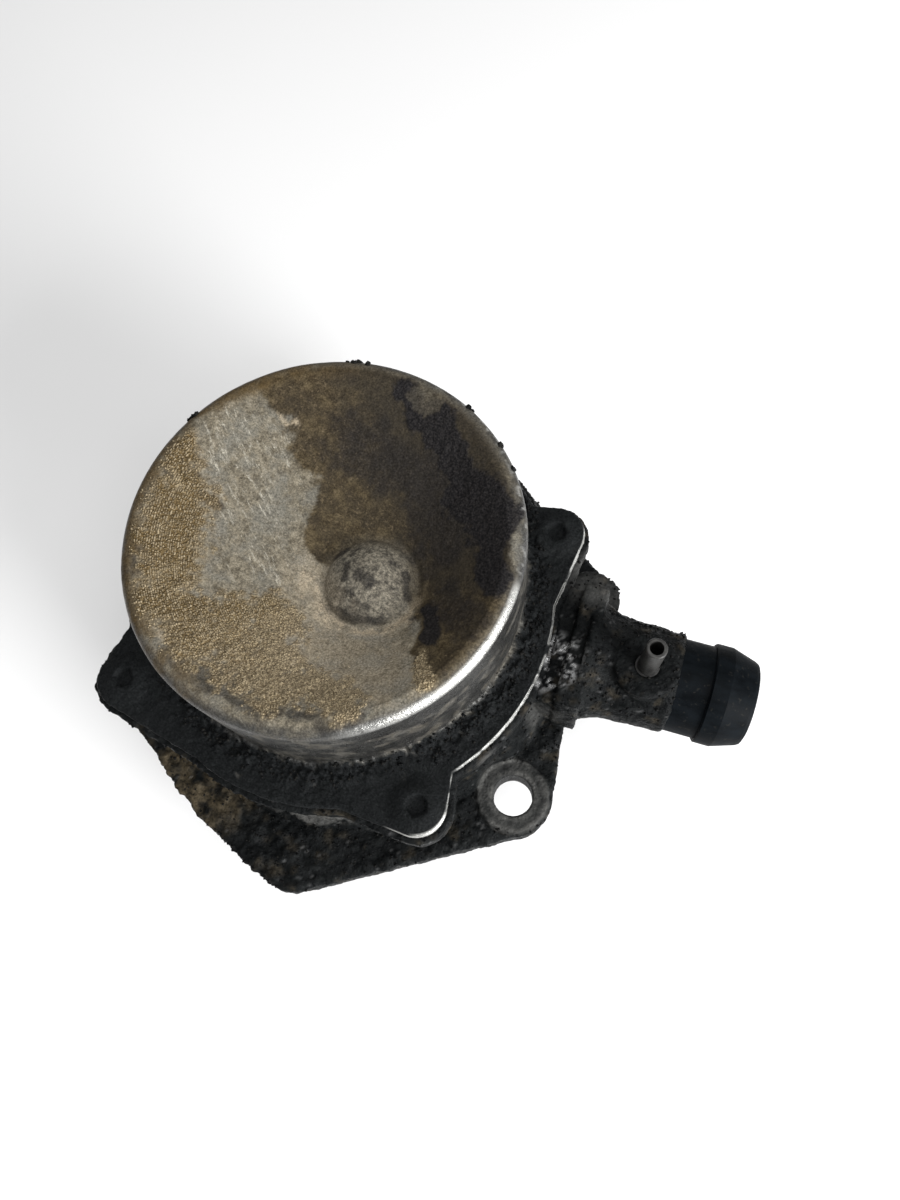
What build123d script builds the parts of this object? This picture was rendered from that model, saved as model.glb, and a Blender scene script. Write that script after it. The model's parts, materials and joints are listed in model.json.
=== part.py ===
from build123d import *

import os
from math import asin, cos, degrees, radians, sin, sqrt

# Plunger-driven vacuum pump, millimetres.
# Origin: centre of the mounting spigot on the mounting face. +Z points away from the engine,
# up through the pressed-steel can. +X points along the hose spout.

# ---------------------------------------------------------------- driving dimensions

# heights above the mounting face
base_thickness = 9.0
boss_ring_height = 1.0
body_top_z = 29.0
body_flange_thickness = 5.0
block_top_z = 27.6
spout_axis_z = 19.8
rim_crest_z = 58.5

# pressed-steel can
can_radius = 43.0
can_wall = 1.6
rim_radius = 2.6
foot_radius = 2.4
sheet_thickness = 1.5
gasket_thickness = 0.8
dish_rim_radius = 39.0
dish_drop = 10.8
dome_centre = (10.7, -4.3)
dome_radius = 10.0
dome_height = 5.0
dome_groove = 1.4

# ears that join can, gasket and body: angle, radius, and how far round each flank runs
ears = (
    (28.9, 51.4, 17.0, 12.0),
    (125.4, 54.0, 18.0, 18.0),
    (221.9, 55.6, 18.0, 26.0),
    (306.0, 55.5, 17.0, 12.0),
)
flange_disc_centre = (0.5, -3.0)
sheet_disc_radius = 49.8
sheet_lobe_radius = 6.6
body_disc_radius = 51.0
body_lobe_radius = 7.8
flank_radius = 1.0
body_flange_lower_round = 0.8
body_flange_upper_round = 0.6
collar_radius = 3.7
collar_taper = 0.5
collar_height = 1.1
screw_radius = 2.2
screw_clearance_radius = 2.75
screw_head_radius = 4.4
screw_head_height = 3.4
screw_head_round = 0.8
screw_socket_radius = 2.2
screw_socket_depth = 2.0
screw_tip_z = 31.0
screw_pocket_radius = 5.2

# base flange: corner lobes (x, y, radius) and mounting holes
mounting_holes = ((51.0, -34.4), (-5.4, 61.3), (-58.5, 1.5))
mounting_hole_radius = 4.75
mounting_ring_radius = 8.6
bolt_head_radius = 8.8
mounting_lobe_radius = 9.2
base_corners = ((5.0, -63.5, 7.5), (-18.5, -55.5, 6.0))
spout_corner = (49.5, -6.0, 7.5)
ear_corner_radius = 8.8
lug_centre = (56.3, 17.2)
lug_radius = 7.4
lug_height = 14.0
base_edge_round = 1.2

# neck between base and body flange
neck_foot_radius = 55.0
neck_top_radius = 50.4
core_pocket_radius = 8.0
core_pocket_circle = 31.0
core_pocket_depth = 20.0
core_pocket_count = 5
core_pocket_first_angle = 62
core_pocket_span = 236

# mounting spigot: a sleeve with a wider root pressed into the body; its bore guides the tappet
spigot_radius = 19.0
spigot_length = 14.0
spigot_chamfer = 1.0
sleeve_root_radius = 19.4
sleeve_root_z = 8.0
tappet_bore_radius = 15.0
spring_pocket_z = 12.0
spring_seat_thickness = 0.8
guide_boss_radius = 9.0
return_wire = 1.1
return_spring_radius = 11.3
return_spring_turns = 5.5
o_ring_groove_radius = 17.0
o_ring_groove_z = (-5.2, -2.4)
o_ring_wire = 1.05

# rod guide and seal in the body
bush_radius = 7.0
bush_top_z = 17.0
passage_radius = 6.0
seal_recess_radius = 9.0
seal_recess_z = 18.0
ring_groove_radius = 10.2
ring_z = 24.0
ring_thickness = 1.2
ring_width = 2.5
ring_gap = 3.2

# hose spout along +X: a block on the body carries the valve housing, whose plug is pressed in
block_half_width = 14.0
block_end_x = 55.0
rib_half_width = 14.5
rib_height = 23.0
rib_end_x = 60.5
plug_radius = 6.5
plug_start_x = 49.0
spout_foot_end_x = 67.0
spout_end_x = 80.0
spout_foot_radius = 14.2
spout_radius = 11.9
spout_bore_radius = 8.6
duct_radius = 4.5
duct_x = 34.0
valve_bore_x = 55.5
connector_x = 67.5
tube_radius = 11.0
bead_radius = 11.8
bead_x = (87.3, 91.2)
tip_x = 97.6
tip_radius = 9.6
connector_bore_radius = 6.5
seal_x = 77.2
seal_wire = 0.8

# check valve: a poppet in a cage, pressed by a spring against the seat
cage_end_x = 64.5
cage_wall = 1.0
cage_floor = 1.2
seat_hole_radius = 4.0
seat_outlet_radius = 4.8
stem_radius = 1.2
vent_radius = 0.9
vent_circle = 3.0
vent_count = 6
poppet_x = 62.6
poppet_radius = 5.8
poppet_thickness = 1.6
valve_wire = 0.3
valve_spring_radius = 4.9
valve_spring_turns = 3.0

# vacuum nipple
nipple_centre = (72.6, -1.2)
nipple_radius = 2.3
nipple_root_radius = 2.7
nipple_bore_radius = 1.5
nipple_top_z = 46.0
nipple_boss_radius = 7.2
nipple_boss_z = 32.6
nipple_tip_round = 0.4

# piston and rod
travel = 7.5
piston_z = 29.8
plate_thickness = 1.0
seal_thickness = 1.5
lip_height = 4.0
piston_plate_radius = 39.2
seal_radius = 41.1
washer_radius = 6.8
washer_thickness = 0.8
nut_half_width = 5.5
nut_thickness = 3.0
rod_radius = 5.0
rod_thread_radius = 4.0
rod_bore_radius = 2.2
rod_top_z = 37.6
rod_end_length = 1.6
rod_vent_bottom_z = -8.0
rod_cross_hole_z = -5.0
rod_cross_hole_radius = 1.4
snap_ring_radius = 5.6
snap_ring_thickness = 1.0
snap_ring_gap = 2.4

# exhaust valve on the piston
valve_hole_circle = 2.7
valve_hole_radius = 0.9
valve_hole_count = 4
rivet_radius = 1.5
valve_disc_radius = 4.2
valve_disc_thickness = 1.0
valve_disc_gap = 0.1
valve_lift = 1.3
guard_thickness = 0.8

# tappet and roller
tappet_radius = 14.95
tappet_wall_radius = 12.9
tappet_floor_z = (-19.0, -16.0)
tappet_top_z = -2.5
tappet_skirt_z = -33.0
roller_z = -29.5
roller_radius = 7.5
roller_width = 8.0
roller_side_gap = 0.4
pin_radius = 3.0
pin_half_length = 13.2
running_gap = 0.05
dowel_radius = 1.5
dowel_z = -9.5
dowel_start_x = 13.4
dowel_length = 5.2
slot_gap = 0.3
tappet_chamfer = 0.5
roller_chamfer = 0.5

# length of cuts that go right through a piece
through = 100.0

up_from = (Align.CENTER, Align.CENTER, Align.MIN)
down_from = (Align.CENTER, Align.CENTER, Align.MAX)

gasket_z = body_top_z
sheet_z = gasket_z + gasket_thickness
sheet_top_z = sheet_z + sheet_thickness
flange_bottom_z = body_top_z - body_flange_thickness
dish_z = rim_crest_z - dish_drop
upper_plate_z = piston_z + plate_thickness + seal_thickness
piston_top_z = upper_plate_z + plate_thickness

os.makedirs("parts", exist_ok=True)


def polar(radius, angle):
    return (radius * cos(radians(angle)), radius * sin(radians(angle)))


def save(piece, name):
    """Label a finished piece and write it as its own file."""
    piece.part.label = name
    export_step(piece.part, f"parts/{name}.step")


ear_centres = [polar(radius, angle) for angle, radius, _, _ in ears]


def ear_outline(angle, radius, before, after, lobe_radius, root_radius):
    """One ear: a round lobe whose two flanks run back to the flange disc."""
    with BuildSketch() as ear:
        with Locations(polar(radius, angle)):
            Circle(lobe_radius)
        with Locations(flange_disc_centre):
            for flank_angle in (angle - before, angle + after):
                with Locations(polar(root_radius - flank_radius, flank_angle)):
                    Circle(flank_radius)
        make_hull()
    return ear.sketch


def eared_flange(disc_radius, lobe_radius):
    """Flange outline shared by the can, the gasket and the body."""
    with BuildSketch() as outline:
        with Locations(flange_disc_centre):
            Circle(disc_radius)
        for ear in ears:
            add(ear_outline(*ear, lobe_radius, disc_radius))
    return outline.sketch


def hull_of(circles):
    """Plate outline stretched around circles given as (x, y, radius)."""
    with BuildSketch() as plate:
        for x, y, radius in circles:
            with Locations((x, y)):
                Circle(radius)
        make_hull()
    return plate.sketch


def turned(profile, axis_plane):
    """Solid turned about the plane's x axis from (distance, radius) points."""
    with BuildPart() as solid:
        with BuildSketch(axis_plane):
            with BuildLine():
                Polyline(profile, close=True)
            make_face()
        revolve(axis=Axis(axis_plane.origin, axis_plane.x_dir))
    return solid.part


spout_plane = Plane(origin=(0, 0, spout_axis_z), x_dir=(1, 0, 0), z_dir=(0, -1, 0))
rod_plane = Plane(origin=(0, 0, 0), x_dir=(0, 0, 1), z_dir=(0, -1, 0))
across_spout = Plane(origin=(0, 0, spout_axis_z), x_dir=(0, 1, 0), z_dir=(1, 0, 0))

# ---------------------------------------------------------------- pump body

mounting_lobes = [(x, y, mounting_lobe_radius) for x, y in mounting_holes]
ear_corners = [(x, y, ear_corner_radius) for x, y in ear_centres]

with BuildPart() as base_plate:
    with BuildSketch():
        add(hull_of([*mounting_lobes, *ear_corners[1:3], *base_corners, spout_corner]))
        add(hull_of([(*lug_centre, lug_radius), ear_corners[0], spout_corner]))
    extrude(amount=base_thickness)
    fillet(base_plate.edges().group_by(Axis.Z)[-1], base_edge_round)

with BuildPart() as body_flange:
    with BuildSketch(Plane.XY.offset(flange_bottom_z)):
        add(eared_flange(body_disc_radius, body_lobe_radius))
    extrude(amount=body_flange_thickness)
    fillet(body_flange.edges().group_by(Axis.Z)[0], body_flange_lower_round)
    fillet(body_flange.edges().group_by(Axis.Z)[-1], body_flange_upper_round)

spout_outside = turned(
    [
        (rib_end_x - 2.0, 0.0),
        (rib_end_x - 2.0, spout_foot_radius),
        (rib_end_x + 0.8, spout_foot_radius - 0.6),
        (rib_end_x + 3.2, spout_radius + 0.7),
        (spout_foot_end_x, spout_radius + 0.1),
        (spout_end_x - 0.6, spout_radius - 0.3),
        (spout_end_x, spout_radius - 0.8),
        (spout_end_x, 0.0),
    ],
    spout_plane,
)

mounting_places = [(x, y, 0) for x, y in mounting_holes]
ear_places = [(x, y, 0) for x, y in ear_centres]

with BuildPart() as pump_body:
    add(base_plate.part)
    add(body_flange.part)
    with Locations((0, 0, base_thickness)):
        Cone(
            neck_foot_radius,
            neck_top_radius,
            flange_bottom_z - base_thickness,
            align=up_from,
        )
    # square block that carries the valve housing, and the lug beside it
    block_height = block_top_z - base_thickness
    with Locations((0, 0, base_thickness)):
        Box(
            block_end_x,
            2 * block_half_width,
            block_height,
            align=(Align.MIN, Align.CENTER, Align.MIN),
        )
    with Locations((*lug_centre, 0)):
        Cylinder(lug_radius, lug_height, align=up_from)
    # mounting holes: room for the bolt heads, raised spot faces, and the holes
    with Locations([(x, y, base_thickness) for x, y in mounting_holes]):
        Cylinder(
            bolt_head_radius,
            flange_bottom_z - base_thickness,
            align=up_from,
            mode=Mode.SUBTRACT,
        )
    with Locations(mounting_places):
        Cylinder(mounting_ring_radius, base_thickness + boss_ring_height, align=up_from)
        Cylinder(mounting_hole_radius, 2 * body_top_z, mode=Mode.SUBTRACT)
    # cover screws: clearance holes, with pockets below that let the heads and driver in
    with Locations(ear_places):
        Cylinder(screw_clearance_radius, body_top_z + 1, align=up_from, mode=Mode.SUBTRACT)
        Cylinder(screw_pocket_radius, 2 * flange_bottom_z, mode=Mode.SUBTRACT)
    # cored pockets in the neck, open at the mounting face
    with PolarLocations(
        core_pocket_circle,
        core_pocket_count,
        start_angle=core_pocket_first_angle,
        angular_range=core_pocket_span,
        endpoint=True,
    ):
        Cylinder(core_pocket_radius, 2 * core_pocket_depth, mode=Mode.SUBTRACT)
    # spring pocket around the guide boss, and the wider mouth that takes the sleeve
    with BuildSketch():
        Circle(tappet_bore_radius)
        Circle(guide_boss_radius, mode=Mode.SUBTRACT)
    extrude(amount=spring_pocket_z, mode=Mode.SUBTRACT)
    with BuildSketch():
        Circle(sleeve_root_radius)
        Circle(guide_boss_radius, mode=Mode.SUBTRACT)
    extrude(amount=sleeve_root_z, mode=Mode.SUBTRACT)
    # bush bore, rod passage, seal recess and ring groove, from the bottom up
    Cylinder(bush_radius, bush_top_z, align=up_from, mode=Mode.SUBTRACT)
    Cylinder(passage_radius, seal_recess_z + 1, align=up_from, mode=Mode.SUBTRACT)
    with Locations((0, 0, seal_recess_z)):
        Cylinder(seal_recess_radius, body_top_z, align=up_from, mode=Mode.SUBTRACT)
    with Locations((0, 0, ring_z)):
        Cylinder(ring_groove_radius, ring_thickness, align=up_from, mode=Mode.SUBTRACT)
    # suction duct: up through the chamber floor, and out to the valve housing's plug
    with Locations((duct_x, 0, spout_axis_z)):
        Cylinder(duct_radius, body_top_z, align=up_from, mode=Mode.SUBTRACT)
    with BuildSketch(across_spout.offset(duct_x)):
        Circle(duct_radius)
    extrude(amount=plug_start_x - duct_x + 1, mode=Mode.SUBTRACT)
    with BuildSketch(across_spout.offset(plug_start_x)):
        Circle(plug_radius)
    extrude(amount=block_end_x - plug_start_x, mode=Mode.SUBTRACT)
save(pump_body, "pump_body")

with BuildPart() as valve_housing:
    # square rib against the block, round spout and nipple boss
    with Locations((block_end_x, 0, spout_axis_z)):
        Box(
            rib_end_x - block_end_x,
            2 * rib_half_width,
            rib_height,
            align=(Align.MIN, Align.CENTER, Align.CENTER),
        )
    add(spout_outside)
    with Locations((*nipple_centre, spout_axis_z)):
        Cylinder(nipple_boss_radius, nipple_boss_z - spout_axis_z, align=up_from)
    # plug that is pressed into the block
    with BuildSketch(across_spout.offset(plug_start_x)):
        Circle(plug_radius)
    extrude(amount=block_end_x - plug_start_x)
    # duct, valve bore and nipple hole
    with BuildSketch(across_spout.offset(plug_start_x)):
        Circle(duct_radius)
    extrude(amount=valve_bore_x - plug_start_x, mode=Mode.SUBTRACT)
    with BuildSketch(across_spout.offset(valve_bore_x)):
        Circle(spout_bore_radius)
    extrude(amount=spout_end_x - valve_bore_x, mode=Mode.SUBTRACT)
    with Locations((*nipple_centre, spout_axis_z)):
        Cylinder(nipple_root_radius, nipple_boss_z, align=up_from, mode=Mode.SUBTRACT)
save(valve_housing, "valve_housing")

with BuildPart() as tappet_sleeve:
    Cylinder(spigot_radius, spigot_length, align=down_from)
    chamfer(tappet_sleeve.edges().group_by(Axis.Z)[0], spigot_chamfer)
    Cylinder(sleeve_root_radius, sleeve_root_z, align=up_from)
    Cylinder(tappet_bore_radius, 2 * (spigot_length + 1), mode=Mode.SUBTRACT)
    # o-ring groove, and the dowel hole through the wall
    with BuildSketch(Plane.XY.offset(o_ring_groove_z[0])):
        Circle(spigot_radius + 1)
        Circle(o_ring_groove_radius, mode=Mode.SUBTRACT)
    extrude(amount=o_ring_groove_z[1] - o_ring_groove_z[0], mode=Mode.SUBTRACT)
    with BuildSketch(Plane(origin=(0, 0, dowel_z), x_dir=(0, 1, 0), z_dir=(1, 0, 0))):
        Circle(dowel_radius)
    extrude(amount=spigot_radius + 1, mode=Mode.SUBTRACT)
save(tappet_sleeve, "tappet_sleeve")

# ---------------------------------------------------------------- can, gasket and screws

dome_ball_radius = (dome_radius**2 + dome_height**2) / (2 * dome_height)
dome_ball_z = dish_z + dome_height - dome_ball_radius


def dome_cap(ball_radius, bottom_z):
    """Top of a ball, cut off flat at bottom_z."""
    latitude = degrees(asin((bottom_z - dome_ball_z) / ball_radius))
    with Locations((*dome_centre, bottom_z)):
        Sphere(ball_radius, arc_size1=latitude, align=up_from)


with BuildPart() as can_cavity:
    cavity_top_z = rim_crest_z - can_wall
    with BuildSketch(Plane.XY.offset(sheet_z - 1)):
        Circle(can_radius - can_wall)
    extrude(amount=cavity_top_z - sheet_z + 1)
    with BuildSketch(Plane.XY.offset(cavity_top_z)):
        Circle(dish_rim_radius + 0.6)
    with BuildSketch(Plane.XY.offset(dish_z - can_wall)):
        with Locations(dome_centre):
            Circle(dome_radius + dome_groove + 0.6)
    loft(mode=Mode.SUBTRACT)
    dome_cap(dome_ball_radius - can_wall, dish_z - can_wall - 1)

with BuildPart() as cover_can:
    with BuildSketch(Plane.XY.offset(sheet_z)):
        Circle(can_radius)
    extrude(amount=rim_crest_z - sheet_z)
    fillet(cover_can.edges().group_by(Axis.Z)[-1], rim_radius)
    with BuildSketch(Plane.XY.offset(rim_crest_z)):
        Circle(dish_rim_radius)
    with BuildSketch(Plane.XY.offset(dish_z)):
        with Locations(dome_centre):
            Circle(dome_radius + dome_groove)
    loft(mode=Mode.SUBTRACT)
    dome_cap(dome_ball_radius, dish_z - 0.5)
    with BuildSketch(Plane.XY.offset(sheet_z)):
        add(eared_flange(sheet_disc_radius, sheet_lobe_radius))
    extrude(amount=sheet_thickness)
    foot_edges = cover_can.edges().filter_by(GeomType.CIRCLE)
    foot_edges = foot_edges.filter_by_position(Axis.Z, sheet_top_z - 0.01, sheet_top_z + 0.01)
    fillet(foot_edges.filter_by(lambda edge: abs(edge.radius - can_radius) < 0.01), foot_radius)
    with Locations([(x, y, sheet_top_z) for x, y in ear_centres]):
        Cone(collar_radius, collar_radius - collar_taper, collar_height, align=up_from)
    with Locations([(x, y, sheet_z) for x, y in ear_centres]):
        Cylinder(screw_radius, through, mode=Mode.SUBTRACT)
    add(can_cavity.part, mode=Mode.SUBTRACT)
save(cover_can, "cover_can")

with BuildPart() as cover_gasket:
    with BuildSketch(Plane.XY.offset(gasket_z)):
        add(eared_flange(sheet_disc_radius - 0.5, sheet_lobe_radius - 0.5))
        Circle(can_radius - can_wall, mode=Mode.SUBTRACT)
        with Locations(ear_centres):
            Circle(screw_clearance_radius, mode=Mode.SUBTRACT)
    extrude(amount=gasket_thickness)
save(cover_gasket, "cover_gasket")

with BuildPart() as cover_screws:
    with Locations([(x, y, flange_bottom_z) for x, y in ear_centres]):
        Cylinder(screw_head_radius, screw_head_height, align=down_from)
        Cylinder(screw_radius, screw_tip_z - flange_bottom_z, align=up_from)
    fillet(cover_screws.edges().group_by(Axis.Z)[0], screw_head_round)
    with BuildSketch(Plane.XY.offset(flange_bottom_z - screw_head_height)):
        with Locations(ear_centres):
            RegularPolygon(screw_socket_radius, 6)
    extrude(amount=screw_socket_depth, mode=Mode.SUBTRACT)
save(cover_screws, "cover_screws")

# ---------------------------------------------------------------- rod guide and seals in the body

with BuildPart() as guide_bush:
    Cylinder(bush_radius, bush_top_z, align=up_from)
    Cylinder(rod_radius + running_gap, through, mode=Mode.SUBTRACT)
save(guide_bush, "guide_bush")

seal_lip_radius = rod_radius + 0.4
seal_profile = [
    (seal_recess_z, seal_lip_radius),
    (seal_recess_z, seal_recess_radius),
    (ring_z, seal_recess_radius),
    (ring_z, seal_recess_radius - 1.0),
    (seal_recess_z + 2.2, seal_recess_radius - 1.8),
    (seal_recess_z + 2.2, seal_lip_radius + 0.9),
    (seal_recess_z + 4.4, seal_lip_radius),
]

with BuildPart() as rod_seal:
    add(turned(seal_profile, rod_plane))
save(rod_seal, "rod_seal")

with BuildPart() as seal_retaining_ring:
    with BuildSketch(Plane.XY.offset(ring_z)):
        ring_radius = ring_groove_radius - 0.3
        Circle(ring_radius)
        Circle(ring_radius - ring_width, mode=Mode.SUBTRACT)
        with Locations((ring_radius - ring_width / 2, 0)):
            Rectangle(2 * ring_width, ring_gap, mode=Mode.SUBTRACT)
    extrude(amount=ring_thickness)
save(seal_retaining_ring, "seal_retaining_ring")

with BuildPart() as spigot_o_ring:
    groove_middle_z = sum(o_ring_groove_z) / 2
    with Locations((0, 0, groove_middle_z)):
        Torus(o_ring_groove_radius + o_ring_wire, o_ring_wire)
save(spigot_o_ring, "spigot_o_ring")

with BuildPart() as anti_rotation_dowel:
    dowel_plane = Plane(origin=(dowel_start_x, 0, dowel_z), x_dir=(0, 1, 0), z_dir=(1, 0, 0))
    with BuildSketch(dowel_plane):
        Circle(dowel_radius)
    extrude(amount=dowel_length)
save(anti_rotation_dowel, "anti_rotation_dowel")

with BuildPart() as spring_seat:
    with BuildSketch(Plane.XY.offset(spring_pocket_z)):
        Circle(tappet_bore_radius - 0.5)
        Circle(guide_boss_radius + 0.2, mode=Mode.SUBTRACT)
    extrude(amount=-spring_seat_thickness)
save(spring_seat, "spring_seat")

# ---------------------------------------------------------------- springs


def coil(start, direction, length, radius, wire_radius, turns):
    """Helical spring whose wire centre runs a length along direction from start."""
    with BuildPart() as spring:
        with BuildLine():
            path = Helix(length / turns, length, radius, center=start, direction=direction)
        with BuildSketch(Plane(origin=path @ 0, z_dir=path % 0)):
            Circle(wire_radius)
        sweep(path=path)
    return spring.part


return_bottom_z = tappet_floor_z[1] + return_wire
return_top_z = spring_pocket_z - spring_seat_thickness - return_wire

with BuildPart() as return_spring:
    add(
        coil(
            (0, 0, return_bottom_z),
            (0, 0, 1),
            return_top_z - return_bottom_z,
            return_spring_radius,
            return_wire,
            return_spring_turns,
        )
    )
save(return_spring, "return_spring")

# ---------------------------------------------------------------- piston and rod


def valve_openings():
    """Air holes and rivet hole of the exhaust valve, cut through a plate."""
    with Locations((*dome_centre, piston_z)):
        Cylinder(rivet_radius, through, mode=Mode.SUBTRACT)
        with PolarLocations(valve_hole_circle, valve_hole_count, start_angle=45):
            Cylinder(valve_hole_radius, through, mode=Mode.SUBTRACT)


def piston_plate(radius, bottom_z, thickness):
    """Round plate with the rod hole and the exhaust valve openings."""
    with BuildPart() as plate:
        with Locations((0, 0, bottom_z)):
            Cylinder(radius, thickness, align=up_from)
        Cylinder(rod_thread_radius, through, mode=Mode.SUBTRACT)
        valve_openings()
    return plate


lower_plate = piston_plate(piston_plate_radius, piston_z, plate_thickness)
save(lower_plate, "piston_lower_plate")

upper_plate = piston_plate(piston_plate_radius, upper_plate_z, plate_thickness)
save(upper_plate, "piston_upper_plate")

with BuildPart() as piston_seal:
    seal_z = piston_z + plate_thickness
    lip_inner = piston_plate_radius + 0.5
    lip_profile = [
        (seal_z, 0.0),
        (seal_z, seal_radius - 0.8),
        (seal_z + 0.8, seal_radius - 0.2),
        (seal_z + lip_height, seal_radius),
        (seal_z + lip_height, seal_radius - 0.7),
        (upper_plate_z, lip_inner),
        (upper_plate_z, 0.0),
    ]
    add(turned(lip_profile, rod_plane))
    Cylinder(rod_thread_radius, through, mode=Mode.SUBTRACT)
    valve_openings()
save(piston_seal, "piston_seal")

with BuildPart() as piston_rod:
    rod_profile = [
        (tappet_floor_z[0] - rod_end_length, 0.0),
        (tappet_floor_z[0] - rod_end_length, rod_thread_radius - 0.4),
        (tappet_floor_z[0] - rod_end_length + 0.4, rod_thread_radius),
        (tappet_floor_z[1], rod_thread_radius),
        (tappet_floor_z[1], rod_radius),
        (piston_z, rod_radius),
        (piston_z, rod_thread_radius),
        (rod_top_z, rod_thread_radius),
        (rod_top_z, 0.0),
    ]
    add(turned(rod_profile, rod_plane))
    # vent bore from above the piston down to a cross hole in the spring chamber
    with Locations((0, 0, rod_vent_bottom_z)):
        Cylinder(rod_bore_radius, through, align=up_from, mode=Mode.SUBTRACT)
    with BuildSketch(Plane(origin=(0, 0, rod_cross_hole_z), x_dir=(0, 1, 0), z_dir=(1, 0, 0))):
        Circle(rod_cross_hole_radius)
    extrude(amount=2 * rod_radius, both=True, mode=Mode.SUBTRACT)
save(piston_rod, "piston_rod")

with BuildPart() as piston_washer:
    with BuildSketch(Plane.XY.offset(piston_top_z)):
        Circle(washer_radius)
        Circle(rod_thread_radius, mode=Mode.SUBTRACT)
    extrude(amount=washer_thickness)
save(piston_washer, "piston_washer")

with BuildPart() as piston_nut:
    with BuildSketch(Plane.XY.offset(piston_top_z + washer_thickness)):
        RegularPolygon(nut_half_width, 6, major_radius=False)
        Circle(rod_thread_radius, mode=Mode.SUBTRACT)
    extrude(amount=nut_thickness)
save(piston_nut, "piston_nut")

# ---------------------------------------------------------------- exhaust valve on the piston

disc_z = piston_top_z + valve_disc_gap
guard_z = disc_z + valve_disc_thickness + valve_lift + 2 * valve_disc_gap

with BuildPart() as exhaust_valve_disc:
    with BuildSketch(Plane.XY.offset(disc_z)):
        with Locations(dome_centre):
            Circle(valve_disc_radius)
            Circle(rivet_radius + 0.3, mode=Mode.SUBTRACT)
    extrude(amount=valve_disc_thickness)
save(exhaust_valve_disc, "exhaust_valve_disc")

with BuildPart() as exhaust_valve_rivet:
    with Locations((*dome_centre, piston_z)):
        Cylinder(rivet_radius, guard_z - piston_z, align=up_from)
    with Locations((*dome_centre, guard_z)):
        Cylinder(valve_disc_radius - 0.2, guard_thickness, align=up_from)
save(exhaust_valve_rivet, "exhaust_valve_rivet")

# ---------------------------------------------------------------- tappet and roller

with BuildPart() as tappet:
    with Locations((0, 0, tappet_skirt_z)):
        Cylinder(tappet_radius, tappet_top_z - tappet_skirt_z, align=up_from)
    chamfer(tappet.edges().group_by(Axis.Z)[-1], tappet_chamfer)
    with Locations((0, 0, tappet_floor_z[1])):
        Cylinder(tappet_wall_radius, through, align=up_from, mode=Mode.SUBTRACT)
    # fork for the roller
    fork_width = roller_width + 2 * roller_side_gap
    with Locations((0, 0, tappet_floor_z[0])):
        Box(through, fork_width, through, align=down_from, mode=Mode.SUBTRACT)
    with Locations((0, 0, tappet_floor_z[0])):
        Cylinder(rod_thread_radius, through, mode=Mode.SUBTRACT)
        Cylinder(snap_ring_radius + 0.5, rod_end_length + 0.4, align=down_from, mode=Mode.SUBTRACT)
    # pin bore through both cheeks
    with BuildSketch(Plane(origin=(0, 0, roller_z), x_dir=(1, 0, 0), z_dir=(0, 1, 0))):
        Circle(pin_radius)
    extrude(amount=through, both=True, mode=Mode.SUBTRACT)
    # slot for the anti-rotation dowel
    slot_top_z = dowel_z + dowel_radius + slot_gap
    slot_bottom_z = dowel_z - dowel_radius - travel - slot_gap
    with Locations((tappet_wall_radius - 0.1, 0, slot_bottom_z)):
        Box(
            tappet_wall_radius,
            2 * (dowel_radius + slot_gap),
            slot_top_z - slot_bottom_z,
            align=(Align.MIN, Align.CENTER, Align.MIN),
            mode=Mode.SUBTRACT,
        )
save(tappet, "tappet")


def across_roller(radius, half_length):
    """Solid cylinder centred on the roller axis, along Y."""
    with BuildPart() as rod:
        with BuildSketch(Plane(origin=(0, 0, roller_z), x_dir=(1, 0, 0), z_dir=(0, 1, 0))):
            Circle(radius)
        extrude(amount=half_length, both=True)
    return rod.part


with BuildPart() as tappet_roller:
    add(across_roller(roller_radius, roller_width / 2))
    chamfer(tappet_roller.edges().filter_by(GeomType.CIRCLE), roller_chamfer)
    add(across_roller(pin_radius + running_gap, roller_width), mode=Mode.SUBTRACT)
save(tappet_roller, "tappet_roller")

with BuildPart() as roller_pin:
    add(across_roller(pin_radius, pin_half_length))
save(roller_pin, "roller_pin")

with BuildPart() as rod_snap_ring:
    with BuildSketch(Plane.XY.offset(tappet_floor_z[0])):
        Circle(snap_ring_radius)
        Circle(rod_thread_radius, mode=Mode.SUBTRACT)
        with Locations((snap_ring_radius, 0)):
            Rectangle(snap_ring_radius, snap_ring_gap, mode=Mode.SUBTRACT)
    extrude(amount=-snap_ring_thickness)
save(rod_snap_ring, "rod_snap_ring")

# ---------------------------------------------------------------- hose spout and check valve

groove_radius = spout_bore_radius - 2 * seal_wire

connector_profile = [
    (connector_x, connector_bore_radius),
    (connector_x, spout_bore_radius),
    (seal_x - 1.0, spout_bore_radius),
    (seal_x - 1.0, groove_radius),
    (seal_x + 1.0, groove_radius),
    (seal_x + 1.0, spout_bore_radius),
    (spout_end_x, spout_bore_radius),
    (spout_end_x, tube_radius),
    (bead_x[0], tube_radius),
    (bead_x[0], bead_radius - 0.3),
    (bead_x[0] + 0.3, bead_radius),
    (bead_x[1], bead_radius),
    (tip_x - 1.0, tip_radius + 0.4),
    (tip_x - 0.3, tip_radius),
    (tip_x, tip_radius - 0.7),
    (tip_x, connector_bore_radius),
]

with BuildPart() as hose_connector:
    add(turned(connector_profile, spout_plane))
    with Locations((*nipple_centre, spout_axis_z)):
        Cylinder(nipple_bore_radius, through, align=up_from, mode=Mode.SUBTRACT)
save(hose_connector, "hose_connector")

with BuildPart() as connector_o_ring:
    with Locations(Location((seal_x, 0, spout_axis_z), (0, 90, 0))):
        Torus(spout_bore_radius - seal_wire, seal_wire)
save(connector_o_ring, "connector_o_ring")

seat_profile = [
    (cage_end_x, seat_hole_radius),
    (cage_end_x, spout_bore_radius),
    (connector_x, spout_bore_radius),
    (connector_x, seat_outlet_radius),
]

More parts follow.
